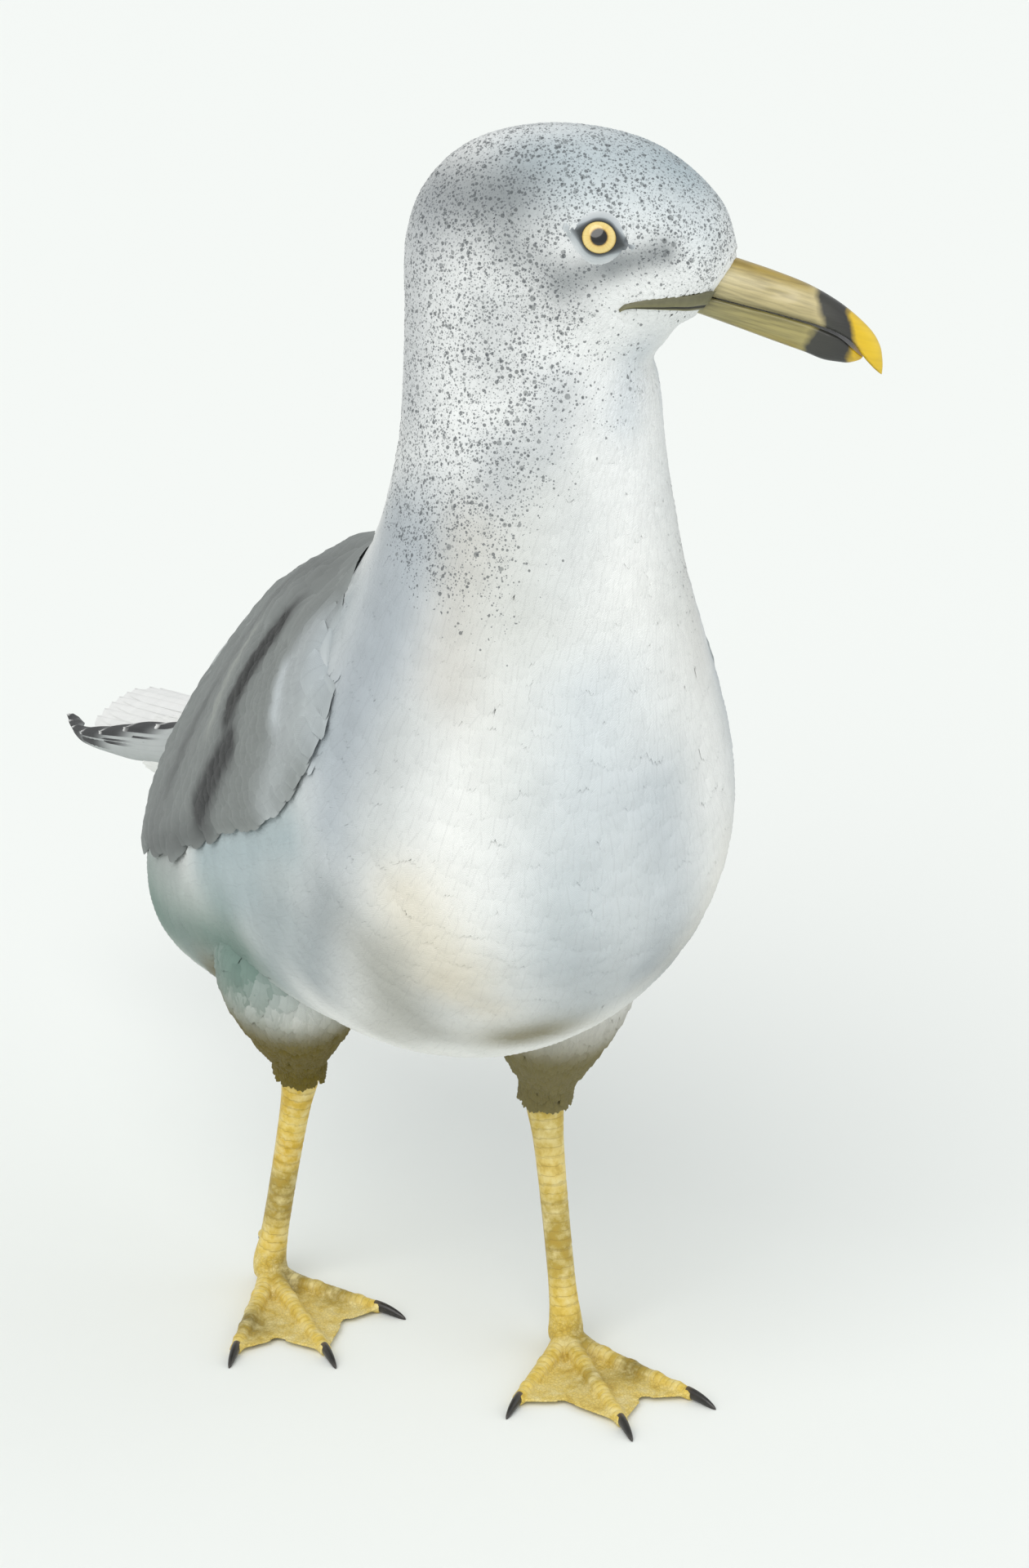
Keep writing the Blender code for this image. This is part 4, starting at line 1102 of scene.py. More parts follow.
def lay(surface, s0, d0, along, across, height):
    """Points of feathers on a surface, from millimetres along the lie and across it at each root.

    The lie is the way in which s falls. With the slopes Ss, Sd at the root and the angle g between
    lie and Sd, the steps are dd = across / (|Sd| sin g) and ds = -(along - across cot g) / |Ss|."""
    slope_s, slope_d = surface.slopes(s0, d0)
    size_s, size_d = (np.linalg.norm(v, axis=-1) for v in (slope_s, slope_d))
    cos = -(slope_s * slope_d).sum(-1) / (size_s * size_d)
    sin = np.sqrt(np.maximum(1 - cos**2, 0.05))
    ds = -(along - across * (cos / sin)[:, None]) / size_s[:, None]
    dd = across / (size_d * sin)[:, None]
    return at_height(surface, s0[:, None] + ds, d0[:, None] + dd, height)


SIZE_SPREAD = 0.07  # how much lengths and widths vary, as a share
FEATHER_RISEN = 0.62  # share of its length at which a feather has risen to the coat's depth
ROOT_SINK, TIP_LIMIT = 0.25, 0.15  # millimetres under the skin at the root, and over the coat at most
BAKE_HALF = 0.0015  # half of the square that a feather has in its OFBake map


def feather_piece(
    name, surface, s0, d0, shape, size, depth, look, unwrap, seed,
    swing=9.0, camber=0.10, thick=0.35, lift=0.0, dip=0.0, tone=0.025, fringe=0.0,
):
    """Every feather of one piece at once: shape is a template, size (length, width), for each or for all.

    A feather starts a little under the skin and rises to the coat's depth near its tip, and by lift
    more where it laps over something. Its edges hang below its shaft by camber * width * across^2, and
    it is thick millimetres deep. dip lets its tip sink between its neighbours, so that soft plumage
    looks sleek, and fringe pales its edge."""
    random = np.random.default_rng(seed)
    template, faces = shape
    count, each, depth = len(s0), len(template), np.reshape(depth, (-1, 1))
    across0, along0 = template[:, 0], template[:, 1]
    length, width = (v * random.normal(1, SIZE_SPREAD, count) for v in size)
    turn = np.radians(random.normal(0, swing, count))[:, None]
    a = across0[None, :] * width[:, None] / 2
    b = along0[None, :] * length[:, None]
    along, across = b * np.cos(turn) - a * np.sin(turn), b * np.sin(turn) + a * np.cos(turn)
    share = np.clip(along0[None, :], 0, 1)
    climb = share / FEATHER_RISEN
    rise = np.sin(np.minimum(climb, 1) * np.pi / 2) ** 0.9 - dip * np.maximum(climb - 1, 0) ** 2
    level = random.uniform(0.94 if dip else 0.80, 1.0, count)[:, None] * depth
    height = -depth - ROOT_SINK + (level + ROOT_SINK) * rise + thick * (template[None, :, 2] - 1)
    height = np.minimum(height - camber * width[:, None] * across0[None, :] ** 2 * share, TIP_LIMIT)
    points = lay(surface, s0, d0, along, across, height + np.reshape(lift, (-1, 1)) * share)
    tone = random.normal(1, tone, count)[:, None, None]
    colour, mask = look(points, s0, d0)
    edge = smooth_step(np.maximum(along0, np.abs(across0) * (along0 > 0.3)), 0.80, 0.97)
    colour = np.clip(colour * tone * (1 + fringe * edge[None, :, None]), 0, 1)
    root = unwrap(s0, d0)[:, None, :]
    patch = root + BAKE_HALF * np.stack([np.clip(across0, -1, 1), 2 * along0 - 1], -1)[None]
    index = faces[None] + (np.arange(count) * each)[:, None, None]
    if surface.sign < 0:
        index = index[..., ::-1]
    return build_mesh(
        name,
        points,
        [index.reshape(-1, 3)],
        {"plumage": colour, "speckle": np.broadcast_to(mask, (count, each))},
        {"Vane": np.stack([a, b], -1), "OFBake": np.clip(patch, 0.001, 0.999)},
        sharp=SHARP,
    )


# ---- The body's coat --------------------------------------------------------------------------------
FEATHERS = (  # station, length, width, spacing
    (0, 13, 7.5, 2.8), (3, 14, 8, 2.8), (5, 13, 7.2, 2.45), (6, 11.5, 6.2, 2.1), (7, 9.5, 5.0, 1.8),
    (8, 7.5, 4.0, 1.5), (9, 6, 3.3, 1.3), (10, 4.8, 2.7, 1.15), (12, 3.6, 2.1, 0.95),
    (14, 2.8, 1.6, 0.78), (15, 2.2, 1.2, 0.62), (16, 1.5, 0.8, 0.5),
)
LENGTH, WIDTH, SPACING = 1, 2, 3  # columns of FEATHERS
LID_REACH = 4.2  # millimetres from the eye's line of sight to the nearest feather above and below
LID_CORNERS = (2.0, 2.9)  # how far the eye's pointed corners stand out behind and before it
LID_MARGIN = 0.5  # how much further out the corners of the feathers' edge lie
GAPE_CLEAR = (2.4, 0.25)  # millimetres kept free beside the gape: at the bill over those at its end


def almond(a, radius, more=0.0):
    """A circle drawn out to a point behind and before: radius / cos(t - a) for angles a from a corner
    below t = acos(radius / (radius + corner)), where the tangents from the corner's point begin."""
    corner = np.where(np.cos(a) < 0, *LID_CORNERS) + more
    t = np.arccos(radius / (radius + corner))
    return radius / np.cos(np.maximum(t - np.arccos(np.minimum(np.abs(np.cos(a)), 1)), 0))


def clear_of_eyes(station, degrees, length):
    """False where a feather would start or end on an eye."""
    clear = np.ones(station.shape, bool)
    near = np.nonzero(station > 11)[0]
    root = body_point(station[near], degrees[near])
    tip = root - length[near, None] * unit(BODY.slopes(station[near], degrees[near])[0])
    for side in SIDES.values():
        centre, out, forward, up = eye_frame(side)
        for end in (root, tip, (root + tip) / 2):
            offset = end - centre
            ahead, above = offset @ forward, offset @ up
            reach = almond(np.arctan2(above, ahead), LID_REACH, LID_MARGIN)
            clear[near[(offset @ out > 0) & (np.hypot(ahead, above) < reach)]] = False
    line = np.array(gape_line(24)).T
    for side in SIDES.values():
        gape = body_point(line[:, 0], side * line[:, 1])
        half = GAPE_CLEAR[0] * (1 - np.linspace(0, 1, len(gape))) ** 0.8 + GAPE_CLEAR[1]
        for end in (root, (root + tip) / 2):
            away = np.linalg.norm(end[:, None] - gape[None], axis=-1)
            clear[near[(away < half[None]).any(1)]] = False
    return clear


def inside_thigh(points, margin):
    """True for points inside either thigh by more than the margin."""
    inside = np.zeros(points.shape[:-1], bool)
    for name in LEGS:
        share, away = along_thigh(name, points)
        radius = np.interp(share, THIGH_SHARES, THIGH_RADII, left=0, right=0)
        inside |= away < radius - margin
    return inside


def under_wing(station, degrees, margin=7.0):
    """True where a folded wing hides the body, inside its edges by a margin in degrees."""
    upper, lower = (table(WING_ROWS, station, i) for i in (1, 2))
    back = from_back(degrees)
    return (station < 5.3) & (back > upper + margin) & (back < lower - margin)


WING_FRONT = (  # degrees from the middle of the back, station of the wing's front edge
    (46, 4.6), (47, 4.7), (56, 5.1), (66, 5.35), (76, 5.35), (82, 5.1), (86, 4.7), (87, 4.6),
)
LAP_LIFT = 1.6  # millimetres


def over_wing(station, degrees):
    """How far the body's feathers lift to lap over a wing's front edge: most at it, none far from it."""
    back = from_back(degrees)
    ahead = station - table(WING_FRONT, back)
    near = smooth_step(back, 40, 50) * smooth_step(86 - back, 0, 6) * smooth_step(ahead, -0.25, -0.05)
    return LAP_LIFT * (1 - smooth_step(ahead, 0.02, 0.40)) * near


BODY_UNWRAP = tube_unwrap(0.04, 0.92, -0.6, 16.8)


def body_look(points, s0, d0):
    """Colours and dots of feathers on the body, read where each of their points lies."""
    stations = np.broadcast_to(s0[:, None], points.shape[:2])
    degrees = np.broadcast_to(d0[:, None], points.shape[:2])
    return thigh_stain(body_colour(stations, degrees, points), points), speckle(stations, degrees)


BODY_COATS = (  # name, stations, locks in a plume, slot, how many places are tried
    ("coat_face", (12.0, 15.9), 2, "plumage_speckled", 160000),
    ("coat_crown", (9.6, 12.0), 3, "plumage_speckled", 120000),
    ("coat_neck", (7.4, 9.6), 3, "plumage_speckled", 90000),
    ("coat_breast", (5.6, 7.4), 5, "plumage_white", 90000),
    ("coat_belly", (3.4, 5.6), 5, "plumage_white", 90000),
    ("coat_flank", (-0.3, 3.4), 5, "plumage_white", 90000),
)


def body_coat(name, stations, locks, slot, count, seed, material):
    """One stretch of the body's plumes, with the sizes and spacing of its stations."""

    def keep(s, d):
        kept = ~under_wing(s, d) & ~inside_thigh(body_point(s, d), 1.0)
        kept &= clear_of_eyes(s, d, table(FEATHERS, s, LENGTH))
        return kept & (is_mantle(s, d) < 0.5)

    s0, d0 = scatter(
        BODY, (stations, (0.0, 360.0)), lambda s, d: table(FEATHERS, s, SPACING), keep, seed, count
    )
    size = table(FEATHERS, s0, LENGTH), table(FEATHERS, s0, WIDTH)
    made = feather_piece(
        name, BODY, s0, d0, plume(locks), size, coat_depth(s0), body_look, BODY_UNWRAP, seed + 1,
        camber=0.035, thick=0.20, dip=0.16, tone=0.012, lift=over_wing(s0, d0),
    )
    return finish_piece(made, material, slot)


# ---- Thighs, mantle and wings -----------------------------------------------------------------------
def outside_body(points, margin):
    """True for points that stand out of the body's surface by more than the margin."""
    station, degrees = nearest_parameters(points)
    offset = points - body_point(station, degrees)
    return (offset * BODY.normal(station, degrees)).sum(-1) > margin


def thigh_coat(name, seed, material):
    """Soft plumes down a thigh, smaller towards the bare leg."""
    surface = THIGHS[name]

    def keep(s, d):
        kept = np.zeros(s.shape, bool)
        some = np.nonzero(np.random.default_rng(seed + 5).random(len(s)) < 0.35)[0]
        kept[some] = outside_body(surface.point(s[some], d[some]), -3.0)
        return kept

    def look(points, s0, d0):
        stations, degrees = nearest_parameters(surface.point(s0, d0))
        stations, degrees = (np.broadcast_to(v[:, None], points.shape[:2]) for v in (stations, degrees))
        return thigh_stain(body_colour(stations, degrees, body_point(stations, degrees)), points), 0.0

    s0, d0 = scatter(surface, ((-0.90, 0.36), (0, 360)), lambda s, d: 1.15 + 0.9 * (s + 0.9), keep, seed)
    size = 3.8 + 5.8 * (s0 + 0.9), 2.2 + 2.3 * (s0 + 0.9)
    made = feather_piece(
        "coat_thigh_" + name, surface, s0, d0, plume(3), size, THIGH_DEPTH, look,
        tube_unwrap(0.03, 0.9, -0.9, 1.3), seed + 1, thick=0.3, swing=12.0,
    )
    return finish_piece(made, material, "plumage_stained")


def make_mantle(material):
    """Firm grey feathers over the back, from the collar to the rump, wherever no wing covers it."""

    def keep(s, d):
        return (is_mantle(s, d) >= 0.5) & ~under_wing(s, d, 9.0) & (from_back(d) < 92)

    s0, d0 = scatter(
        BODY, ((0.8, 7.2), (-92, 92)), lambda s, d: np.interp(s, (1, 5, 7), (3.9, 3.4, 2.3)), keep, 31
    )
    size = np.interp(s0, (1, 5, 7), (16, 13, 8)), np.interp(s0, (1, 5, 7), (11, 9, 5.5))
    made = feather_piece(
        "coat_mantle", BODY, s0, d0, vane(), size, coat_depth(s0) * 0.8, body_look, BODY_UNWRAP, 32,
        swing=6.0, thick=0.3, camber=0.08, fringe=0.18,
    )
    return finish_piece(made, material, "plumage_grey")


WING_GREY = "#7A7F7D"
FAR_WING = 0.5  # how much of the streaks the wing out of sight has
WING_MARKS_AND_PAINTED_SHADE = (  # from and to (station, share across), reach, strength, colour
    ((5.3, 0.20), (4.95, 0.90), 8.5, 0.95, "#AEB6BA"),  # pale blue-grey along the front edge
    ((4.9, 0.80), (4.0, 1.00), 6.5, 0.85, "#A6ACAD"),
    ((4.9, 0.25), (4.5, 0.70), 6.5, 0.70, "#A8AEB0"),
    ((3.6, 0.00), (2.7, 0.16), 8.0, 0.60, "#606462"),  # painted shade on the shoulder
    ((2.95, 0.40), (2.85, 0.66), 4.5, 0.60, "#9EA29C"),
    ((3.0, 1.00), (1.4, 1.00), 4.5, 0.75, "#565A59"),  # painted shade along the lower edge
    ((2.6, 0.20), (1.6, 0.95), 11.0, 0.50, "#5E6261"),
    ((2.0, 0.62), (1.9, 0.80), 6.0, 0.60, "#4E5251"),
    ((3.65, 0.28), (3.28, 0.62), 4.9, 1.7, "#1C1E1D"),  # painted shade: two dark streaks where feathers overlap
    ((3.42, 0.74), (2.85, 0.93), 4.8, 1.5, "#262828"),
    ((4.42, 0.50), (4.38, 0.66), 4.2, 0.90, "#BCC3C6"),  # light beside the first
)


def wing_look(name):
    """Grey, with painted shade as soft dark streaks along the feathers and the wing's edges, and soft light
    streaks.
    """

    def look(points, s0, d0):
        colour = np.broadcast_to(linear(WING_GREY), points.shape)
        for start, end, reach, strength, code in WING_MARKS_AND_PAINTED_SHADE:
            ends = WINGS[name].point(*np.array([start, end]).T)
            strength = min(strength, 1) * FAR_WING if name == "left" else strength
            weight = np.minimum(strength * np.exp(-((to_segment(points, *ends) / reach) ** 2)), 1)
            colour = laid_over(colour, code, weight)
        return colour, 0.0

    return look


def wing_unwrap(s, d):
    """The wing opened flat: u across it, v along it."""
    return np.stack([0.05 + 0.88 * (d + 0.2) / 1.4, 0.05 + 0.9 * (s + 3.2) / 8.8], -1)


COVERTS = (  # name, stations, share across, length, width, spacing, lift
    ("lesser", (3.05, 5.30), (0.02, 0.98), 8.5, 6.6, 2.7, 0.0),
    ("median", (2.15, 3.15), (0.02, 0.98), 12.5, 9.0, 3.9, 0.0),
    ("greater", (1.15, 2.30), (0.20, 0.97), 17.0, 9.5, 4.8, 0.0),
    ("scapular", (1.7, 5.3), (-0.14, 0.26), 19.0, 12.5, 5.2, 0.7),
)


FRONT_SINK = (0.72, 3.6)  # millimetres deeper at the wing's front edge: below, and at its upper end
FRONT_STATIONS, FRONT_UPPER = (4.80, 5.20), (0.05, 0.30)  # over which both grow


def wing_coat(name, material, seed):
    """Lesser, median and greater coverts and the scapulars over them, as one piece."""
    made = []
    for index, (kind, stations, shares, length, width, spacing, lift) in enumerate(COVERTS):
        s0, d0 = scatter(
            WINGS[name], (stations, shares), lambda s, d, gap=spacing: gap, lambda s, d: True,
            seed + 2 * index, 20000,
        )
        upper = 1 - smooth_step(d0, *FRONT_UPPER)
        sink = smooth_step(s0, *FRONT_STATIONS) * (FRONT_SINK[0] + (FRONT_SINK[1] - FRONT_SINK[0]) * upper)
        made.append(feather_piece(
            f"{kind}_{name}", WINGS[name], s0, d0, vane(), (length, width), WING_DEPTH + sink,
            wing_look(name), wing_unwrap, seed + 2 * index + 1, 5.0, 0.07, 0.3, lift, fringe=0.22,
        ))
    whole = join(made, "coat_wing_" + name)
    return finish_piece(whole, material, "plumage_grey", "wing_" + name)


def join(objects, name):
    """Several objects made one."""
    bpy.ops.object.select_all(action="DESELECT")
    for obj in objects:
        obj.select_set(True)
    bpy.context.view_layer.objects.active = objects[0]
    bpy.ops.object.join()
    objects[0].name = objects[0].data.name = name
    return objects[0]


FLIGHT_OUTLINE = ((0, 0.35), (0.12, 0.75), (0.4, 1.0), (0.75, 0.98), (0.90, 0.80), (0.97, 0.5), (1.0, 0.1))


def run_of(line):
    """The way covered from a line's start to each of its points."""
    return np.concatenate([[0], np.cumsum(np.linalg.norm(np.diff(line, axis=0), axis=1))])


def there_and_back(count):
    """A closed section's places, -1 to 1 over it and back under it, and 1 for those under it."""
    places = np.concatenate([np.linspace(-1, 1, count), np.linspace(1, -1, count)[1:-1]])
    return places, np.concatenate([np.zeros(count), np.ones(count - 2)])


def flight_feather(name, surface, root, tip, width, height, paint, bend, camber=0.08, rows=30, columns=9):
    """A long vane from root to tip (s, d): rings of its upper and under side, closed at both ends.

    Its middle line runs straight in s and d, plus bend * v (1 - v) in d. Half width is width / 2 times
    FLIGHT_OUTLINE, and each side falls from the shaft by camber * width * across^2."""
    v = np.linspace(0, 1, rows) ** 0.9
    across, under = there_and_back(columns)
    s = root[0] + (tip[0] - root[0]) * v
    d = root[1] + (tip[1] - root[1]) * v + bend * v * (1 - v)
    slope = np.linalg.norm(surface.slopes(s, d)[1], axis=-1)
    half = width / 2 * table(FLIGHT_OUTLINE, v)
    a = half[:, None] * across[None, :]
    shaft = np.exp(-((across * 9) ** 2)) * 0.35
    thick = 0.22 * (1 - across**2) + 0.10
    level = height + shaft[None, :] - camber * half[:, None] * 2 * across[None, :] ** 2
    level = level - under[None, :] * (2 * thick[None, :])
    points = at_height(surface, s[:, None], d[:, None] + a / slope[:, None], level)
    lengths = run_of(points[:, columns // 2])
    whole, faces = capped_rings(points if surface.sign < 0 else points[:, ::-1])
    along = np.broadcast_to(lengths[:, None], a.shape)
    if surface.sign >= 0:
        a = a[:, ::-1]
    ends = [[0, 0], [0, lengths[-1]]]
    vane_uv = np.concatenate([np.stack([a, along], -1).reshape(-1, 2), ends])
    colour = paint(vane_uv[:, 0] / (width / 2), lengths[-1] - vane_uv[:, 1])
    looks = {"plumage": colour, "speckle": np.zeros(len(whole))}
    return build_mesh(name, whole, faces, looks, {"Vane": vane_uv}, SHARP)


TIP_WHITE = "#EEEFED"


def tipped(base, tip, white, dark_from=None):
    """A vane's paint by millimetres from its end: base, darker towards it, white for the last few."""

    def paint(across, left):
        colour = np.broadcast_to(linear(base), (len(left), 3))
        if dark_from:
            colour = laid_over(colour, tip, smooth_step(dark_from - left, 0, dark_from * 0.6))
        if white:
            colour = laid_over(colour, TIP_WHITE, smooth_step(white - left + 1.5 * np.abs(across), 0, 1.6))
        return colour

    return paint


# kind, how many, width, height, step to the next one's, bend, colour, darker colour and how far from the
# tip it starts, then from the first feather to the last: white at the tip, root's s and d, tip's s and d
FLIGHTS = (
    ("secondary", 8, 11.0, -1.2, -0.14, 0.0, "#939896", "#7C807F", 16,
     (4.5, 4.5), (2.05, 2.05), (0.50, 0.96), (0.37, 0.62), (0.52, 0.98)),
    ("tertial", 6, 17.0, -0.1, -0.16, 0.0, "#979C9B", "#7F8483", 22,
     (6.5, 6.5), (2.5, 2.0), (0.02, 0.52), (-0.35, 0.45), (0.06, 0.61)),
    ("primary", 7, 11.5, -0.4, -0.30, 0.10, "#B4B9B8", "#2B2C2E", 30,
     (2.6, 2.6, 2.6, 2.6, 2.6, 2.6, 1.6), (1.1, 0.6), (0.36, 0.76),
     (-0.55, -1.05, -1.5, -1.95, -2.35, -2.68, -2.94), (0.30, 0.52)),
)


def make_flights(name, material):
    """Secondaries, tertials and primaries of a folded wing, each a vane of its own."""
    made = []
    for kind, count, width, height, step, bend, base, dark, dark_from, *rows in FLIGHTS:
        for i, share in enumerate(np.linspace(0, 1, count)):
            white, *ends = (np.interp(share, np.linspace(0, 1, len(row)), row) for row in rows)
            made.append(flight_feather(
                f"{kind}_{i}", WINGS[name], ends[:2], ends[2:], width, height + step * i,
                tipped(base, dark, white, dark_from), bend,
            ))
    whole = join(made, "flight_feathers_" + name)
    return finish_piece(whole, material, "plumage_black", "primaries_" + name)


def tail_top():
    """The tail's upper face: s from 0 at its root to -1 at its tip, d from -1 to 1 across it."""

    def point(s, d):
        s, d = even(s, d)
        y, half_width, top = tail_row(-s, d)
        return np.stack([half_width * d, y, top], -1)

    return Surface(point, (0.01, 0.02))


def make_tail(material):
    """Twelve white tail feathers, closed into a narrow fan with the middle pair on top."""
    surface, made = tail_top(), []
    for side in (-1, 1):
        for i in range(6):
            across = side * (0.10 + 0.135 * i)
            tip = (-1.0 + 0.012 * i, side * (0.12 + 0.15 * i))
            paint = tipped("#EFF0EE", "#E4E6E5", 0)
            made.append(flight_feather(
                f"rectrix_{side}_{i}", surface, (0.08, across), tip, 10.5, 0.1 - 0.28 * i - 0.07 * (side > 0),
                paint, 0.0, camber=0.02, rows=22, columns=7,
            ))
    whole = join(made, "tail_feathers")
    return finish_piece(whole, material, "plumage_white", "tail")


def make_tail_coverts(material):
    """Soft white plumes over and under the tail's root."""

    def keep(s, d):
        return (np.abs(np.cos(np.radians(d))) > 0.16) & ((s > -0.34) | (np.cos(np.radians(d)) < 0))

    def look(points, s0, d0):
        return np.broadcast_to(linear(WHITE), points.shape), 0.0

    s0, d0 = scatter(TAIL, ((-0.50, 0.16), (0, 360)), lambda s, d: 3.0, keep, 71, 12000)
    made = feather_piece(
        "coat_tail_root", TAIL, s0, d0, plume(5), (15, 8.5), 1.6, look,
        tube_unwrap(0.1, 0.8, -0.7, 0.9), 72, swing=6.0,
    )
    return finish_piece(made, material, "plumage_white")


# ---- Eyes and lids ----------------------------------------------------------------------------------
CORNEA = 0.35  # millimetres
PUPIL, IRIS = 12.8, 32.0  # degrees from the line of sight to each one's edge
LID_OPENING, LID_RIM, LID_OUTER = 3.42, 0.40, 7.6  # mm from the line of sight: aperture, rim, far edge
LID_GAP, LID_RISE, LID_LIP, LID_CORNER = 0.20, 0.70, 0.30, 5.0  # mm over the ball, as make_lids says


def eye_frame(side):
    """Centre, line of sight, forward and up of an eye: forward is the bill's way made square to sight."""
    centre, out = eye_centre(side), unit(eye_outward(side))
    forward = direction_in_head(1.0, 0.0, 0.0)
    forward = unit(forward - (forward @ out) * out)
    up = np.cross(forward, out) * side
    return centre, out, forward, up


def make_eye(name, side, material):
    """A ball turned about its line of sight: EYE_RADIUS, and CORNEA more within about 30 degrees of it."""
    centre, out, forward, up = eye_frame(side)
    theta = np.radians(np.concatenate([np.linspace(0.6, 45, 46), np.linspace(48, 179, 34)]))
    around = np.linspace(0, 2 * np.pi, 64, endpoint=False) * side
    radius = EYE_RADIUS + CORNEA * np.exp(-((np.degrees(theta) / 30) ** 4))
    side_way = np.cos(around)[:, None] * forward + np.sin(around)[:, None] * up
    rings = radius[:, None, None] * (
        np.cos(theta)[:, None, None] * out + np.sin(theta)[:, None, None] * side_way[None]
    )
    points, faces = capped_rings(centre + rings, flip=True)
    angle = np.concatenate([np.repeat(np.degrees(theta), 64), [0, 180]])
    turn = np.concatenate([np.tile(np.abs(around), len(theta)), [0, 0]])
    ray = np.stack([np.cos(turn), np.sin(turn), np.zeros(len(turn))], -1) * 0.5 + 0.5
    made = build_mesh("eyeball_" + name, points, faces, {"from_sight": angle / 90.0, "ray": ray})
    return finish_piece(made, material, "eye", "eye_" + name)


def make_lids(name, side):
    """The bare rim round an eye and the skin beyond it: a closed sheet out under the feathers.

    Seen along the line of sight its edges lie at LID_OPENING and LID_OUTER. Its height is the ball's,
    sqrt(R^2 - r^2), plus LID_GAP, and LID_RISE more by its outer edge, with a lip LID_LIP proud at the
    opening, and never below LID_CORNER cos^6 a, so that the corners lie level with the feathers. share
    is a quarter where the dark rim ends, which an almond bounds."""
    centre, out, forward, up = eye_frame(side)
    a = np.linspace(0, 2 * np.pi, 96, endpoint=False)
    corner = np.abs(np.cos(a))
    inner = LID_OPENING * (1 - 0.07 * np.sin(a) ** 2 - 0.03 * np.maximum(np.sin(a), 0))
    share = np.concatenate([np.linspace(0, 1, 22), np.linspace(1, 0, 10)[1:-1]])
    under = np.concatenate([np.zeros(22), np.ones(8)])[None, :]
    reach = inner[:, None] + (LID_OUTER - inner)[:, None] * share
    ball = np.sqrt(EYE_RADIUS**2 - np.minimum(reach, EYE_RADIUS - 0.3) ** 2)
    past = reach - inner[:, None]
    rim = (almond(a, LID_OPENING + LID_RIM) - inner)[:, None].clip(0.2)
    lip = LID_LIP * np.exp(-(((past - 0.30) / 0.32) ** 2)) + 0.05 * np.sin(past * 9)
    skin = ball + LID_GAP + LID_RISE * smooth_step(reach, 5.2, LID_OUTER)
    height = np.maximum(skin, LID_CORNER * corner[:, None] ** 6)
    height = height + lip * (1 - under) - 0.22 * under
    way = np.cos(a)[:, None] * forward + np.sin(a)[:, None] * up
    points = centre + reach[..., None] * way[:, None, :] + height[..., None] * out
    count, around = points.shape[:2]
    faces = grid_faces(count + 1, around, around=True, flip=side < 0) % (count * around)
    return build_mesh("lids_" + name, points, [faces], {"share": np.where(under > 0, 4.0, past / rim) / 4})


# ---- Bill and gape ----------------------------------------------------------------------------------
BILL_INTO_HEAD = 4.0
NOSTRIL = (11.8, 0.9, 2.6, 0.62, 0.75)  # forward, up, half length, half height, depth in millimetres


def mandible(name, rows, flat_top):
    """Rings across a mandible: round on one side, nearly flat along the mouth, leaning with the face.

    Over the last 0.6 of a row its depth and width close by sqrt(1 - t^2). The upper one's heights are
    bottom + depth * max(0, cos)^0.9, and the lower one's the same downwards from its top."""
    rows = np.array(rows, float)
    places = np.linspace(0, len(rows) - 1, 90)
    rows = between(rows, places)
    back = np.repeat(rows[:1], 6, 0)
    back[:, 0] = rows[0, 0] - np.linspace(BILL_INTO_HEAD, 0.6, 6)
    back[:, 3] *= np.linspace(0.9, 1.0, 6)
    lean_share = np.concatenate([np.zeros(6), places / places[-1]])
    blunt = np.sqrt(np.maximum(1 - np.clip((places - places[-1] + 0.6) / 0.6, 0, 1) ** 2, 0.01))
    rows[:, 3] *= blunt
    moving, still = (2, 1) if flat_top else (1, 2)
    rows[:, moving] = rows[:, still] + (rows[:, moving] - rows[:, still]) * blunt
    rows = np.concatenate([back, rows])
    turn = np.linspace(0, 2 * np.pi, 48, endpoint=False)
    up, out = np.cos(turn), np.sin(turn)
    (top_forward, top_up), (low_forward, low_up) = HEAD_STATIONS[-1][:2]
    lean = (top_forward - low_forward) / (top_up - low_up)
    start = low_forward - lean * low_up
    forward, top, bottom, width = (rows[:, i : i + 1] for i in range(4))
    depth = top - bottom
    crest = -up if flat_top else up
    round_part = depth * (np.maximum(0, crest) ** 0.9 + 0.05 * np.maximum(0, -crest))
    height = top - round_part if flat_top else bottom + round_part
    side = width * np.sign(out) * np.abs(out) ** 0.92
    if not flat_top:  # nostril slits, and a low ridge along the culmen
        f, u, long, high, deep = NOSTRIL
        pit = np.exp(-(((forward - f) / long) ** 4) - (((height - u) / high) ** 2))
        side = side * (1 - 0.17 * pit * deep * np.ones_like(side))
        side = side * (1 - 0.05 * np.exp(-(((height - top + 1.6) / 0.8) ** 2)))
    else:
        height = height - 0.35 * np.exp(-(((forward - 24.5) / 2.5) ** 2)) * np.maximum(0, crest)
    points = in_head(start + forward + lean * height * (1 - lean_share[:, None]), side, height)
    whole, faces = capped_rings(points, flip=True)
    grid = np.stack([forward * np.ones_like(height), height], -1).reshape(-1, 2)
    ends = np.array([[forward[0, 0], height[0].mean()], [forward[-1, 0], height[-1].mean()]])
    return build_mesh(name, whole, faces, None, {"Horn": np.concatenate([grid, ends])})


def on_face(forward, up):
    """Station and degrees of the left cheek's place at (forward, up), nearest in the head's side view."""
    stations, degrees = np.meshgrid(np.linspace(10, 16, 241), np.linspace(15, 172, 315), indexing="ij")
    face = unturned(body_point(stations, degrees), TURN_AXIS_Y)
    y, z = along_bill(np.asarray(forward, float), np.asarray(up, float))
    found = [np.hypot(face[..., 1] - a, face[..., 2] - b).argmin() for a, b in zip(y, z)]
    return stations.reshape(-1)[found], degrees.reshape(-1)[found]


GAPE = ((31.6, -4.6), (27.6, -5.0), (23.6, -5.5), (19.8, -6.3), (16.8, -7.3), (14.6, -8.4))  # forward, up
MOUTH_LINE = 0.35  # how far across the gape the closed mouth's line lies
GAPE_HALF, GAPE_END = 2.7, 0.22  # half width in millimetres at the bill, and left at its end
GAPE_RISE, GAPE_PINCH = 0.65, 0.60  # millimetres


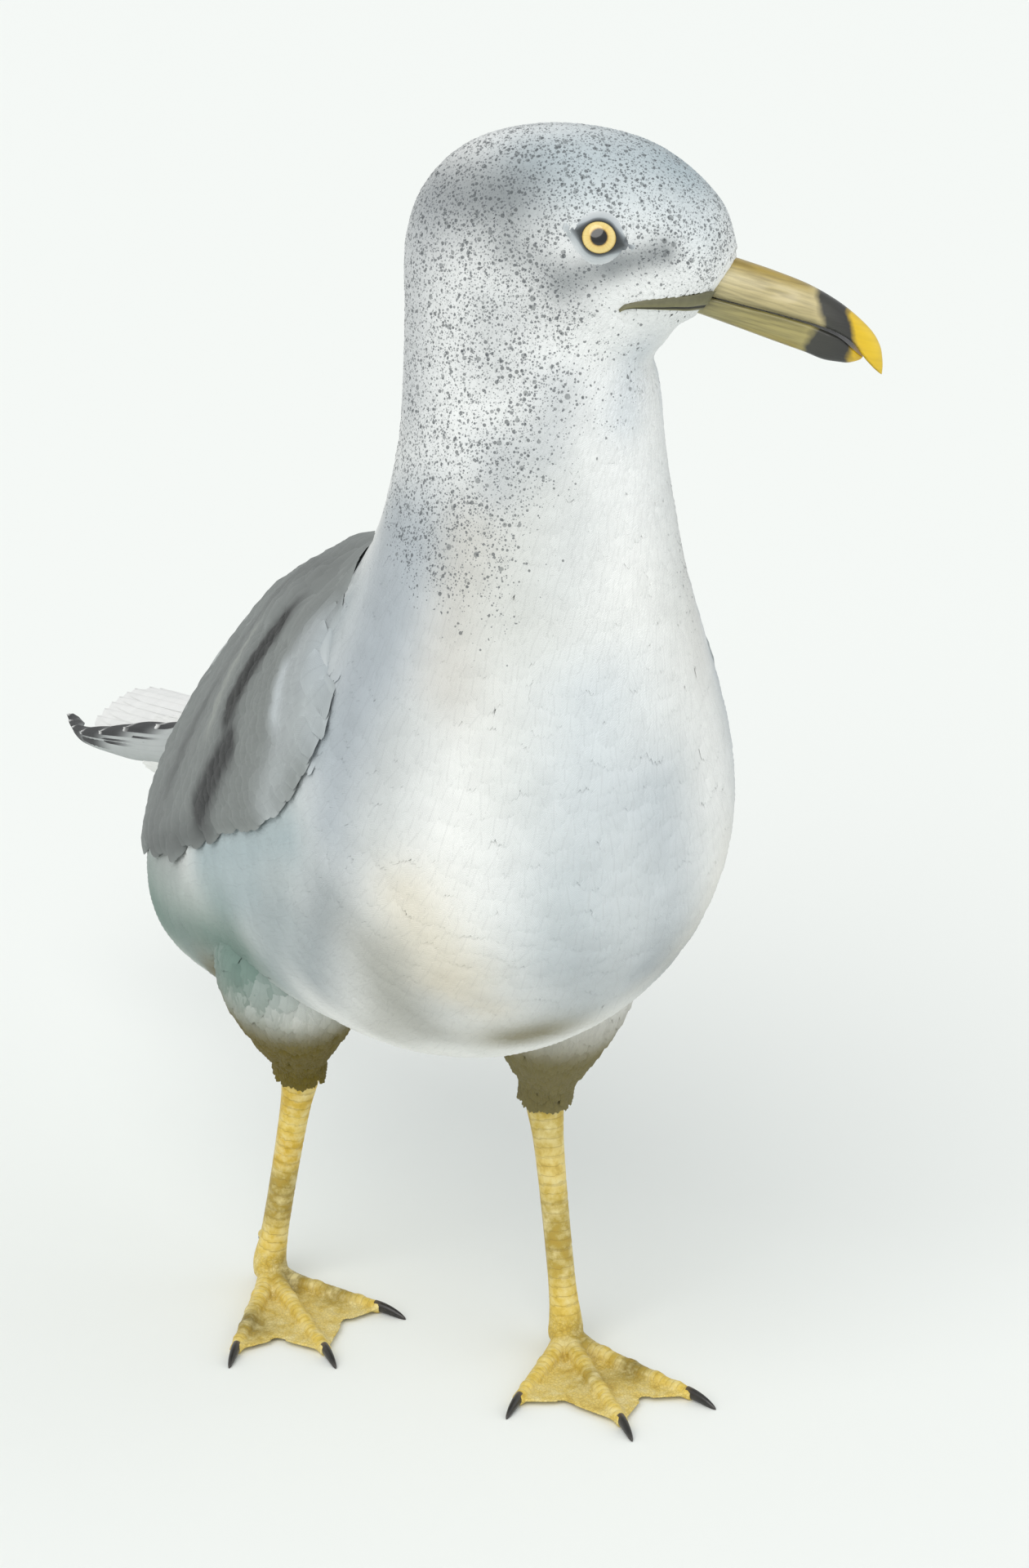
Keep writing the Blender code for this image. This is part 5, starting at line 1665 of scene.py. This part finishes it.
def gape_line(count=40):
    """Stations and degrees along the mouth's corner on the left cheek."""
    line = between(np.array(GAPE, float), np.linspace(0, len(GAPE) - 1, count))
    s, d = on_face(line[:, 0], line[:, 1])
    smooth = np.polynomial.Polynomial.fit
    x = np.linspace(0, 1, count)
    return smooth(x, s, 4)(x), smooth(x, d, 4)(x)


def make_gape(name, side, material):
    """The mouth's bare corner: a low ridge of skin from the bill to under the eye, parted by the mouth.

    Its section is a closed lens, raised by GAPE_RISE (1 - x^2) and pinched where the mouth shuts."""
    s, d = gape_line()
    d = d if side > 0 else -d
    share = np.linspace(0, 1, len(s))
    half = (GAPE_HALF * (1 - share) ** 0.8 + GAPE_END)[:, None]
    x, under = there_and_back(13)
    rise = GAPE_RISE * (1 - x**2) - GAPE_PINCH * np.exp(-(((x + MOUTH_LINE) * 6) ** 2))
    level = np.where(under > 0, -1.2, rise - 0.12)[None, :] * np.ones_like(half)
    slope = np.linalg.norm(BODY.slopes(s, d)[1], axis=-1)[:, None]
    points = at_height(BODY, s[:, None], d[:, None] + half * x / slope, level)
    whole, faces = capped_rings(points, flip=True)
    across = np.concatenate([np.tile(np.where(under > 0, 1.0, np.abs(x + MOUTH_LINE)), len(s)), [0, 0]])
    made = build_mesh("gape_" + name, whole, faces, {"across": across})
    return finish_piece(made, material, "bill")


# ---- Legs, feet and claws ---------------------------------------------------------------------------
TIBIA = ((-1.6, 3.4), (-0.6, 3.5), (0.0, 3.6), (0.5, 3.9), (1.0, 4.8))  # share of its bare length, radius
TARSUS = ((0.16, 3.9), (0.4, 3.5), (0.7, 3.4), (0.88, 3.6), (1.0, 4.3))
HUB_HEIGHT = 7.0
TOES = {"inner": (-38.0, 32.0), "middle": (0.0, 42.5), "outer": (30.0, 39.5)}  # degrees, length
TOE_JOINTS = {"inner": (0.42, 0.80), "middle": (0.34, 0.62, 0.86), "outer": (0.30, 0.52, 0.72, 0.88)}
TOE_RADII = (2.55, 1.45)
WEB_THICKNESS, WEB_SCALLOP = 1.0, 0.26  # millimetres, and how far its edge is drawn in
HUB_ROOM, CLAW_ROOT = 3.2, 1.6  # millimetres from the hub to the hind toe, and of claw inside a toe
LEG_PLATE, TOE_PLATE = 2.3, 1.7  # millimetres along the leg and the toe
CLAW_LENGTH, CLAW_RADIUS, CLAW_HEIGHT, CLAW_DROP = 7.0, 1.4, 2.0, 1.6
HALLUX_HEIGHT, HALLUX_LENGTH, HALLUX_DROP = 11.5, 5.6, 1.7
LEG_VOXEL, LEG_RELAX = 0.42, 5
LEG_YELLOW, WEB_YELLOW, OLIVE = "#DBBF58", "#E2CC7C", "#7C6C31"
LEG_TINTS = {  # height above the floor, reach along the leg, strength, colour
    "left": ((29, 11, 0.62, "#8C7A38"), (56, 6, 0.35, "#9A8A4A"), (47, 7, 0.35, "#DCC98A")),
    "right": ((26, 9, 0.66, OLIVE), (39, 5, 0.6, "#C9A324"), (53, 5, 0.5, "#C6A22B")),
}
TOE_TINTS = {  # toe, share of its length, reach, strength, colour
    "left": (
        ("outer", 0.16, 5.0, 0.75, OLIVE), ("outer", 0.56, 5.5, 0.8, "#5A5128"),
        ("middle", 0.5, 4.6, 0.6, OLIVE),
    ),
    "right": (
        ("inner", 0.22, 5.5, 0.9, "#4F4623"), ("inner", 0.62, 5.5, 0.8, OLIVE),
        ("outer", 0.68, 6.5, 0.85, "#5E552C"),
    ),
}


def tube(line, radii, front, count, width=1.0):
    """Rings round a line: radius * (width sin(a) sideways + cos(a) to its front), square to the line."""
    tangent = unit(np.gradient(line, axis=0))
    side = unit(np.cross(tangent, front))
    ahead = np.cross(side, tangent)
    a = np.linspace(0, 2 * np.pi, count, endpoint=False)[None, :, None]
    out = width * np.sin(a) * side[:, None] + np.cos(a) * ahead[:, None]
    return line[:, None] + radii[:, None, None] * out


def toe_directions(name):
    """Each toe's level direction. The foot points to -Y, turned in by its own few degrees."""
    side = SIDES[name]
    angles = {toe: math.radians(-90 + side * (out - LEGS[name]["toe_in"])) for toe, (out, _) in TOES.items()}
    return {toe: np.array([math.cos(a), math.sin(a), 0.0]) for toe, a in angles.items()}


def leg_line(name):
    """The bare leg's middle line with its radii: x, y, z, radius, from under the feathers to the foot."""
    leg = LEGS[name]
    knee, heel = np.array(leg["knee"], float), np.array(leg["heel"], float)
    top = knee + THIGH_SHARES[-1] * (heel - knee)
    bottom = np.array([*leg["foot"], HUB_HEIGHT])
    rows = [(*(top + share * (heel - top)), radius) for share, radius in TIBIA]
    rows += [(*(heel + share * (bottom - heel)), radius) for share, radius in TARSUS]
    rows += [(*leg["foot"], 4.6, 4.5), (*leg["foot"], 2.6, 4.2)]
    rows = np.array(rows)
    return between(rows, np.linspace(0, len(rows) - 1, 180))


def toe_line(name, toe):
    """A toe's middle line with its radii, thicker at each joint, from the hub down to the claw."""
    t = np.linspace(0, 1, 90)
    radius = TOE_RADII[0] + (TOE_RADII[1] - TOE_RADII[0]) * t**0.8
    for joint in TOE_JOINTS[toe]:
        away = t - joint
        radius = radius + 0.22 * np.exp(-((away / 0.035) ** 2)) - 0.08 * np.exp(-((away / 0.1) ** 2))
    height = radius * 0.97 + 2.0 * np.exp(-((t / 0.13) ** 2))
    foot = np.array([*LEGS[name]["foot"], 0.0])
    line = foot + t[:, None] * TOES[toe][1] * toe_directions(name)[toe] + height[:, None] * (0, 0, 1.0)
    return np.concatenate([line, radius[:, None]], 1)


def web_form(name, low, high):
    """The web between two toes: a thin sheet that hangs from them, wrinkled lengthwise, its edge drawn in."""
    ways = toe_directions(name)
    u = np.linspace(0, 1, 60)
    v = np.linspace(0.06, 1, 70)[:, None]
    first, last = (math.atan2(ways[toe][1], ways[toe][0]) for toe in (low, high))
    angle = first + (last - first) * u
    edge = TOES[low][1] + (TOES[high][1] - TOES[low][1]) * u
    edge = edge * (1 - WEB_SCALLOP * np.sin(np.pi * u) ** 0.75)
    near = np.abs(2 * u - 1)[None, :]
    wrinkle = 0.16 * np.sin(2 * np.pi * (5 * u[None, :] + 0.6 * v)) * np.sin(np.pi * u)[None, :]
    top = 1.35 + 0.9 * near**4 * (1 - 0.5 * v) + wrinkle * v + 0.2 * smooth_step(v, 0.93, 1.0)
    low_face = np.maximum(top - WEB_THICKNESS, 0.12)
    level = v * edge[None, :]
    foot = np.array([*LEGS[name]["foot"], 0.0])
    flat = np.stack([level * np.cos(angle), level * np.sin(angle), 0 * level], -1) + foot
    above, below = flat + top[..., None] * (0, 0, 1.0), flat + low_face[..., None] * (0, 0, 1.0)
    return np.concatenate([above, below[:, ::-1]], 1)


def hallux_line(name):
    """The small raised hind toe: back and down from the tarsus, with its radii."""
    line = leg_line(name)
    start = line[np.abs(line[:, 2] - HALLUX_HEIGHT)[90:].argmin() + 90, :3]
    back = -toe_directions(name)["middle"]
    t = np.linspace(-0.35, 1, 40)[:, None]
    drop = HALLUX_DROP * np.maximum(t, 0) ** 2
    place = start + back * (HUB_ROOM + HALLUX_LENGTH * t) + (0, 0, -1.0) * drop
    radius = np.interp(t[:, 0], (-0.35, 0.0, 0.3, 0.7, 1.0), (1.5, 1.6, 1.6, 1.4, 1.1))
    return np.concatenate([place, radius[:, None]], 1)


def nearest_on(line, points):
    """For each point, the index of the nearest place on a line, and the distance to it."""
    away = np.linalg.norm(points[:, None] - line[None, :, :3], axis=-1)
    index = away.argmin(1)
    return index, away[np.arange(len(points)), index]


def make_leg(name, material):
    """One skin over shank, foot and hind toe: their forms run together by a voxel remesh, then smoothed.

    Points then move out by up to 0.1 mm over each plate. bands counts plates along leg or toe, plates
    is 1 on the leg's front and the toes' tops, and tone is ochre with darker olive and paler patches."""
    ways = toe_directions(name)
    leg = leg_line(name)
    forms = [capped_rings(tube(leg[:, :3], leg[:, 3], ways["middle"], 44, 0.92))]
    toes = {toe: toe_line(name, toe) for toe in TOES}
    for line in (*toes.values(), hallux_line(name)):
        rings = tube(line[:, :3], line[:, 3], (0, 0, 1.0), 28)
        rings[..., 2] = np.maximum(rings[..., 2], 0.02)
        forms.append(capped_rings(rings))
    for low, high in (("inner", "middle"), ("middle", "outer")):
        forms.append(capped_rings(web_form(name, low, high)))
    skin = run_together("leg_skin_" + name, forms, LEG_VOXEL, LEG_RELAX)
    points = points_of(skin)
    index, away = nearest_on(leg, points)
    along = run_of(leg[:, :3])[index]
    outward = unit(points - leg[index, :3])
    on_leg = smooth_step(points[:, 2], 8.0, 11.0)
    plates = on_leg * smooth_step(outward @ ways["middle"], -0.15, 0.25)
    bands = along / LEG_PLATE
    on_toe = np.zeros(len(points))
    for line, (toe, way) in zip(toes.values(), ways.items()):
        index, away = nearest_on(line, points)
        ridge = smooth_step(1.25 - away / line[index, 3], 0, 0.35) * (points[:, 2] < 8)
        forward = (points - (*LEGS[name]["foot"], 0)) @ way
        here = ridge > on_toe
        bands = np.where(here & (on_leg < 0.01), forward / TOE_PLATE, bands)
        on_toe = np.maximum(on_toe, ridge)
        on_top = smooth_step(points[:, 2] - line[index, 2], 0.2, 0.9) * smooth_step(forward, 4.0, 7.0)
        plates = np.maximum(plates, (1 - on_leg) * ridge * on_top)
    swell = 0.10 * plates * np.sin(np.pi * (bands % 1)) ** 0.5
    normals = np.empty(len(points) * 3, np.float32)
    skin.data.vertices.foreach_get("normal", normals)
    moved = placed(points + swell[:, None] * normals.reshape(-1, 3))
    skin.data.vertices.foreach_set("co", moved.astype(np.float32).reshape(-1))
    tone = np.broadcast_to(linear(LEG_YELLOW), points.shape)
    tone = laid_over(tone, WEB_YELLOW, smooth_step(3.0 - points[:, 2], 0, 1.0) * (1 - on_toe) * 0.45)
    for height, reach, strength, code in LEG_TINTS[name]:
        weight = strength * np.exp(-(((points[:, 2] - height) / reach) ** 4)) * on_leg
        tone = laid_over(tone, code, weight)
    for toe, share, reach, strength, code in TOE_TINTS[name]:
        spot = toes[toe][int(share * (len(toes[toe]) - 1)), :3] + (0, 0, 1.2)
        weight = strength * np.exp(-((np.linalg.norm(points - spot, axis=-1) / reach) ** 2))
        tone = laid_over(tone, code, weight)
    set_attributes(skin.data, {"tone": tone, "bands": bands, "plates": plates})
    skin.data.update()
    skin.data.shade_smooth()
    return finish_piece(skin, material, "leg", *(f"{part}_{name}" for part in ("shank", "foot", "hallux")))


def claw(start, direction, length, radius, drop, name):
    """A claw: radius * sqrt(1 - t^1.6) round a line that droops by drop t^2, narrower than it is deep."""
    t = np.linspace(0, 1, 26)
    line = start + t[:, None] * length * direction + (t**2)[:, None] * (0, 0, -drop)
    rings = tube(line, radius * np.sqrt(np.maximum(1 - t**1.6, 0.004)), (0, 0, 1.0), 24, 0.78)
    points, faces = capped_rings(rings)
    share = np.concatenate([np.repeat(t, 24), [0, 1]])
    return build_mesh(name, points, faces, {"share": share})


def make_claws(name, material):
    """The three front claws and the small hind one, each set into its toe's end."""
    made = []
    for toe, way in toe_directions(name).items():
        start = np.array([*LEGS[name]["foot"], CLAW_HEIGHT - 0.25]) + way * (TOES[toe][1] - CLAW_ROOT)
        made.append(claw(start, way, CLAW_LENGTH + CLAW_ROOT, CLAW_RADIUS, CLAW_DROP, f"claw_{toe}_{name}"))
    line = hallux_line(name)
    way = unit(line[-1, :3] - line[-8, :3])
    made.append(claw(line[-1, :3] - 1.0 * way, way, 3.6, 0.85, 0.9, "claw_hallux_" + name))
    whole = join(made, "claws_" + name)
    nodes = [f"claw_{name}_{toe}" for toe in (*TOES, "hallux")]
    return finish_piece(whole, material, "claw", *nodes)


def main():
    """Builds the view, the stage and every piece, each with its own random draws."""
    make_camera()
    make_stage()
    plumage = plumage_material("feather_vanes")
    skin = make_skin()
    skin.data.materials.append(plumage_material("feathered_skin", vanes=False))
    lids = lid_material()
    rims = [make_lids(name, side) for name, side in SIDES.items()]
    for rim in rims:
        rim.data.materials.append(lids)
    skin = join([skin, *rims], "skin")
    ride_and_replace(
        skin, "plumage_white",
        "head", "neck", "breast", "belly", "back", "rump", "thigh_left", "thigh_right",
    )
    eye, gape = eye_material(), gape_material()
    for name, side in SIDES.items():
        make_eye(name, side, eye)
        make_gape(name, side, gape)
    upper = mandible("upper_mandible", UPPER_BILL, flat_top=False)
    finish_piece(upper, bill_material("bill_horn", lower=False), "bill", "bill_upper")
    lower = mandible("lower_mandible", LOWER_BILL, flat_top=True)
    finish_piece(lower, bill_material("bill_horn_lower", lower=True), "bill", "bill_lower")
    for index, row in enumerate(BODY_COATS):
        body_coat(*row, 11 + 2 * index, plumage)
    make_mantle(plumage)
    make_tail(plumage)
    make_tail_coverts(plumage)
    leg, horn = leg_material(), claw_material()
    for index, name in enumerate(SIDES):
        make_leg(name, leg)
        make_claws(name, horn)
        thigh_coat(name, 41 + 10 * index, plumage)
        wing_coat(name, plumage, 61 + 20 * index)
        make_flights(name, plumage)


main()
